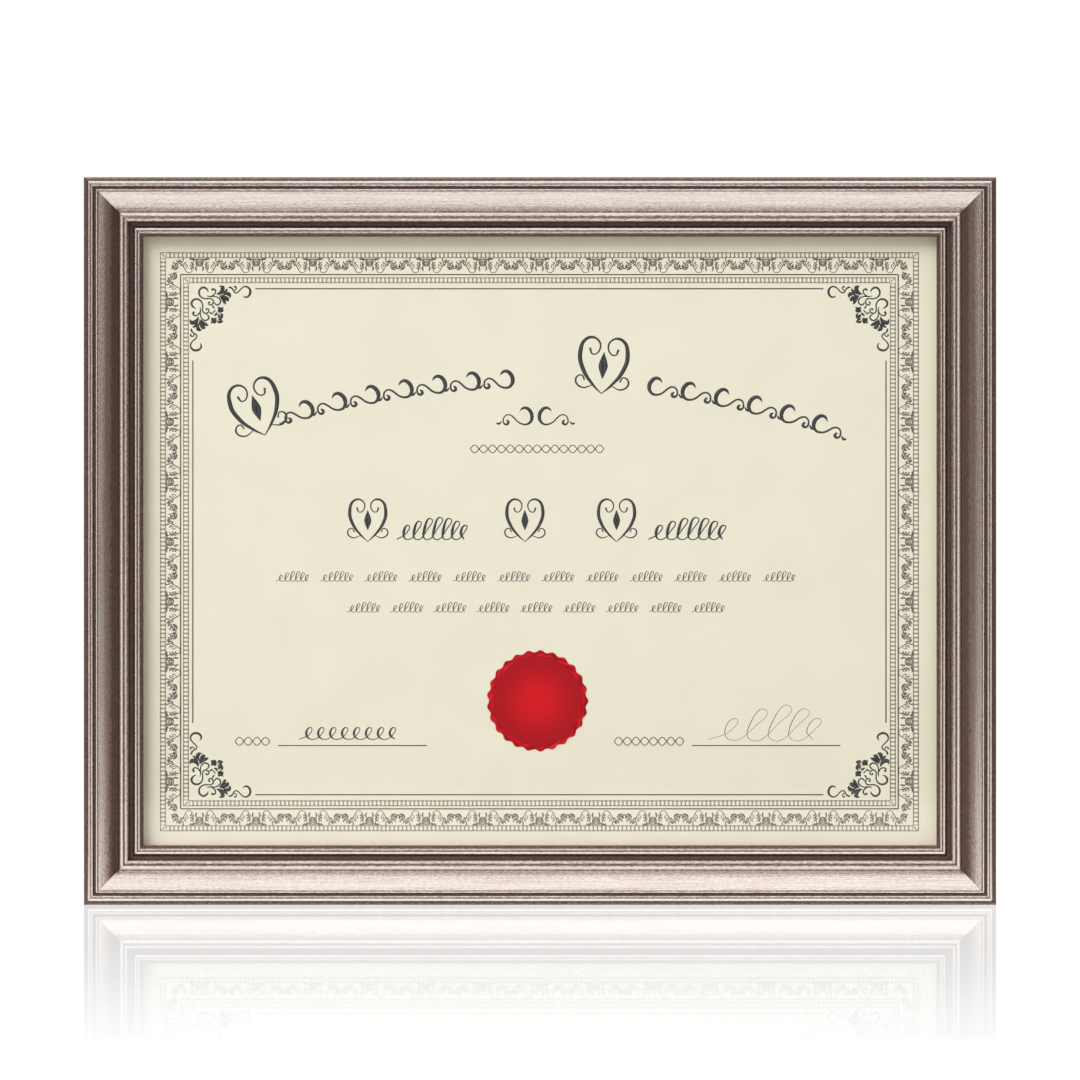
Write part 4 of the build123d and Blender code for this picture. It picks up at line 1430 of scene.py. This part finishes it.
screw_outline = [(0, -10), (0.5, -9), (1.3, -7), (1.3, 0), (2.8, 0), (2.8, 0.75), (0, 0.75)]
screw_body = as_mesh(turned(screw_outline), "screw_body")
screw_caps = slotted_caps(radius=2.8, base=0.7, rise=0.8, slot=0.75)
nail_mesh = as_mesh(turned([(0, -9), (0.7, -7.5), (0.7, 0)] + crown(1.7, 0, nail_rise)), "nail")
rivet_mesh, leg_rivet_mesh = (
    as_mesh(turned([(0, -depth), (1.25, -depth), (1.25, 0)] + crown(2.2, 0, rivet_rise)), name)
    for depth, name in ((3.8, "rivet"), (3.3, "leg_rivet"))
)
print("a screw has", len(screw_body.polygons), "faces below its head")

# %% [markdown]
# The fasteners' places come from the plates that they hold. A button's screw sits 4 mm from its outer
# end, and a hanger's nails sit in the middle of its two feet. No two screws stop at the same turn.

# %% Where the fasteners sit
button_tail = 4 * MM
nail_spread = 18 * MM
rivet_spread = 12 * MM
screw_rise = 1.5 * MM
screw_turn = radians(47)
first_turn = radians(20)
screw_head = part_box("turn_button_screws")[1].y - screw_rise
nail_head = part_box("hanger_nails")[1].y - nail_rise * MM


def lying(node):
    """The box of a node, its middle, and whether it is longer along the level than upwards."""
    low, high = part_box(node)
    return low, high, (low + high) / 2, high.x - low.x > high.z - low.z


screws = []
for index, node in enumerate(sorted(button_names)):
    low, high, middle, level_piece = lying(node)
    spot = Vector((middle.x, screw_head, middle.z))
    if level_piece:
        spot.x = low.x + button_tail if middle.x < 0 else high.x - button_tail
    else:
        spot.z = low.z + button_tail if middle.z < middle_height else high.z - button_tail
    turn = Matrix.Rotation(screw_turn * index + first_turn, 4, "Z")
    place = Matrix.Translation(spot) @ into_wood @ turn
    screws += [(mesh, place) for mesh in (screw_body, *screw_caps)]
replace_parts(assembled("button_screws", screws, bright_zinc), "turn_button_screws")

nails = []
for node in ("top_hanger", "side_hanger"):
    low, high, middle, level_piece = lying(node)
    along = Vector((nail_spread, 0, 0) if level_piece else (0, 0, nail_spread))
    for side in (-1, 1):
        spot = middle + along * side
        spot.y = nail_head
        nails.append((nail_mesh, Matrix.Translation(spot) @ into_wood))
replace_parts(assembled("nails", nails, bright_zinc), "hanger_nails")

for node, mesh, body in (
    ("stand_board_rivets", rivet_mesh, "frame"), ("stand_leg_rivets", leg_rivet_mesh, "stand")
):
    low, high, middle, level_piece = lying(node)
    heads = [
        (mesh, Matrix.Translation((side * rivet_spread, high.y - rivet_rise * MM, middle.z)) @ into_wood)
        for side in (-1, 1)
    ]
    piece = assembled(node.replace("stand_", "") + "_turned", heads, bright_zinc, body)
    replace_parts(piece, node)

# %% [markdown]
# ## The felt bumpers
#
# Two felt dots keep the lower corners off the wall. Felt has soft edges: a disc, whose upper edge is
# rounded by a bevel of four steps.

# %% The felt bumpers
bumper_low, bumper_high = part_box("wall_bumpers")
bumper_radius = 4.95 * MM
bumper_inset = 5 * MM
felt_round = 0.55 * MM
felt_share = 0.98
bumper_thickness = (bumper_high.y - bumper_low.y) * felt_share
dot = bmesh.new()
bmesh.ops.create_circle(dot, cap_ends=True, radius=bumper_radius, segments=40)
raised = only(bmesh.types.BMVert, bmesh.ops.extrude_face_region(dot, geom=dot.faces[:])["geom"])
bmesh.ops.translate(dot, verts=raised, vec=(0, 0, bumper_thickness))
top_edges = [edge for edge in dot.edges if all(v.co.z > bumper_thickness / 2 for v in edge.verts)]
bmesh.ops.bevel(
    dot, geom=top_edges, offset=felt_round, offset_type="OFFSET", segments=4, profile=0.5,
    affect="EDGES", material=-1,
)
for face in dot.faces:
    face.smooth = len(face.verts) == 4
dot_mesh = as_mesh(dot, "felt_dot")
dots = []
for side in (-1, 1):
    spot = (side * (bumper_high.x - bumper_inset), bumper_low.y, (bumper_low.z + bumper_high.z) / 2)
    dots.append((dot_mesh, Matrix.Translation(spot) @ into_wood))
felt_dots = assembled("felt_dots", dots, wool_felt("green_felt", colour(58, 66, 56)))
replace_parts(felt_dots, "wall_bumpers")
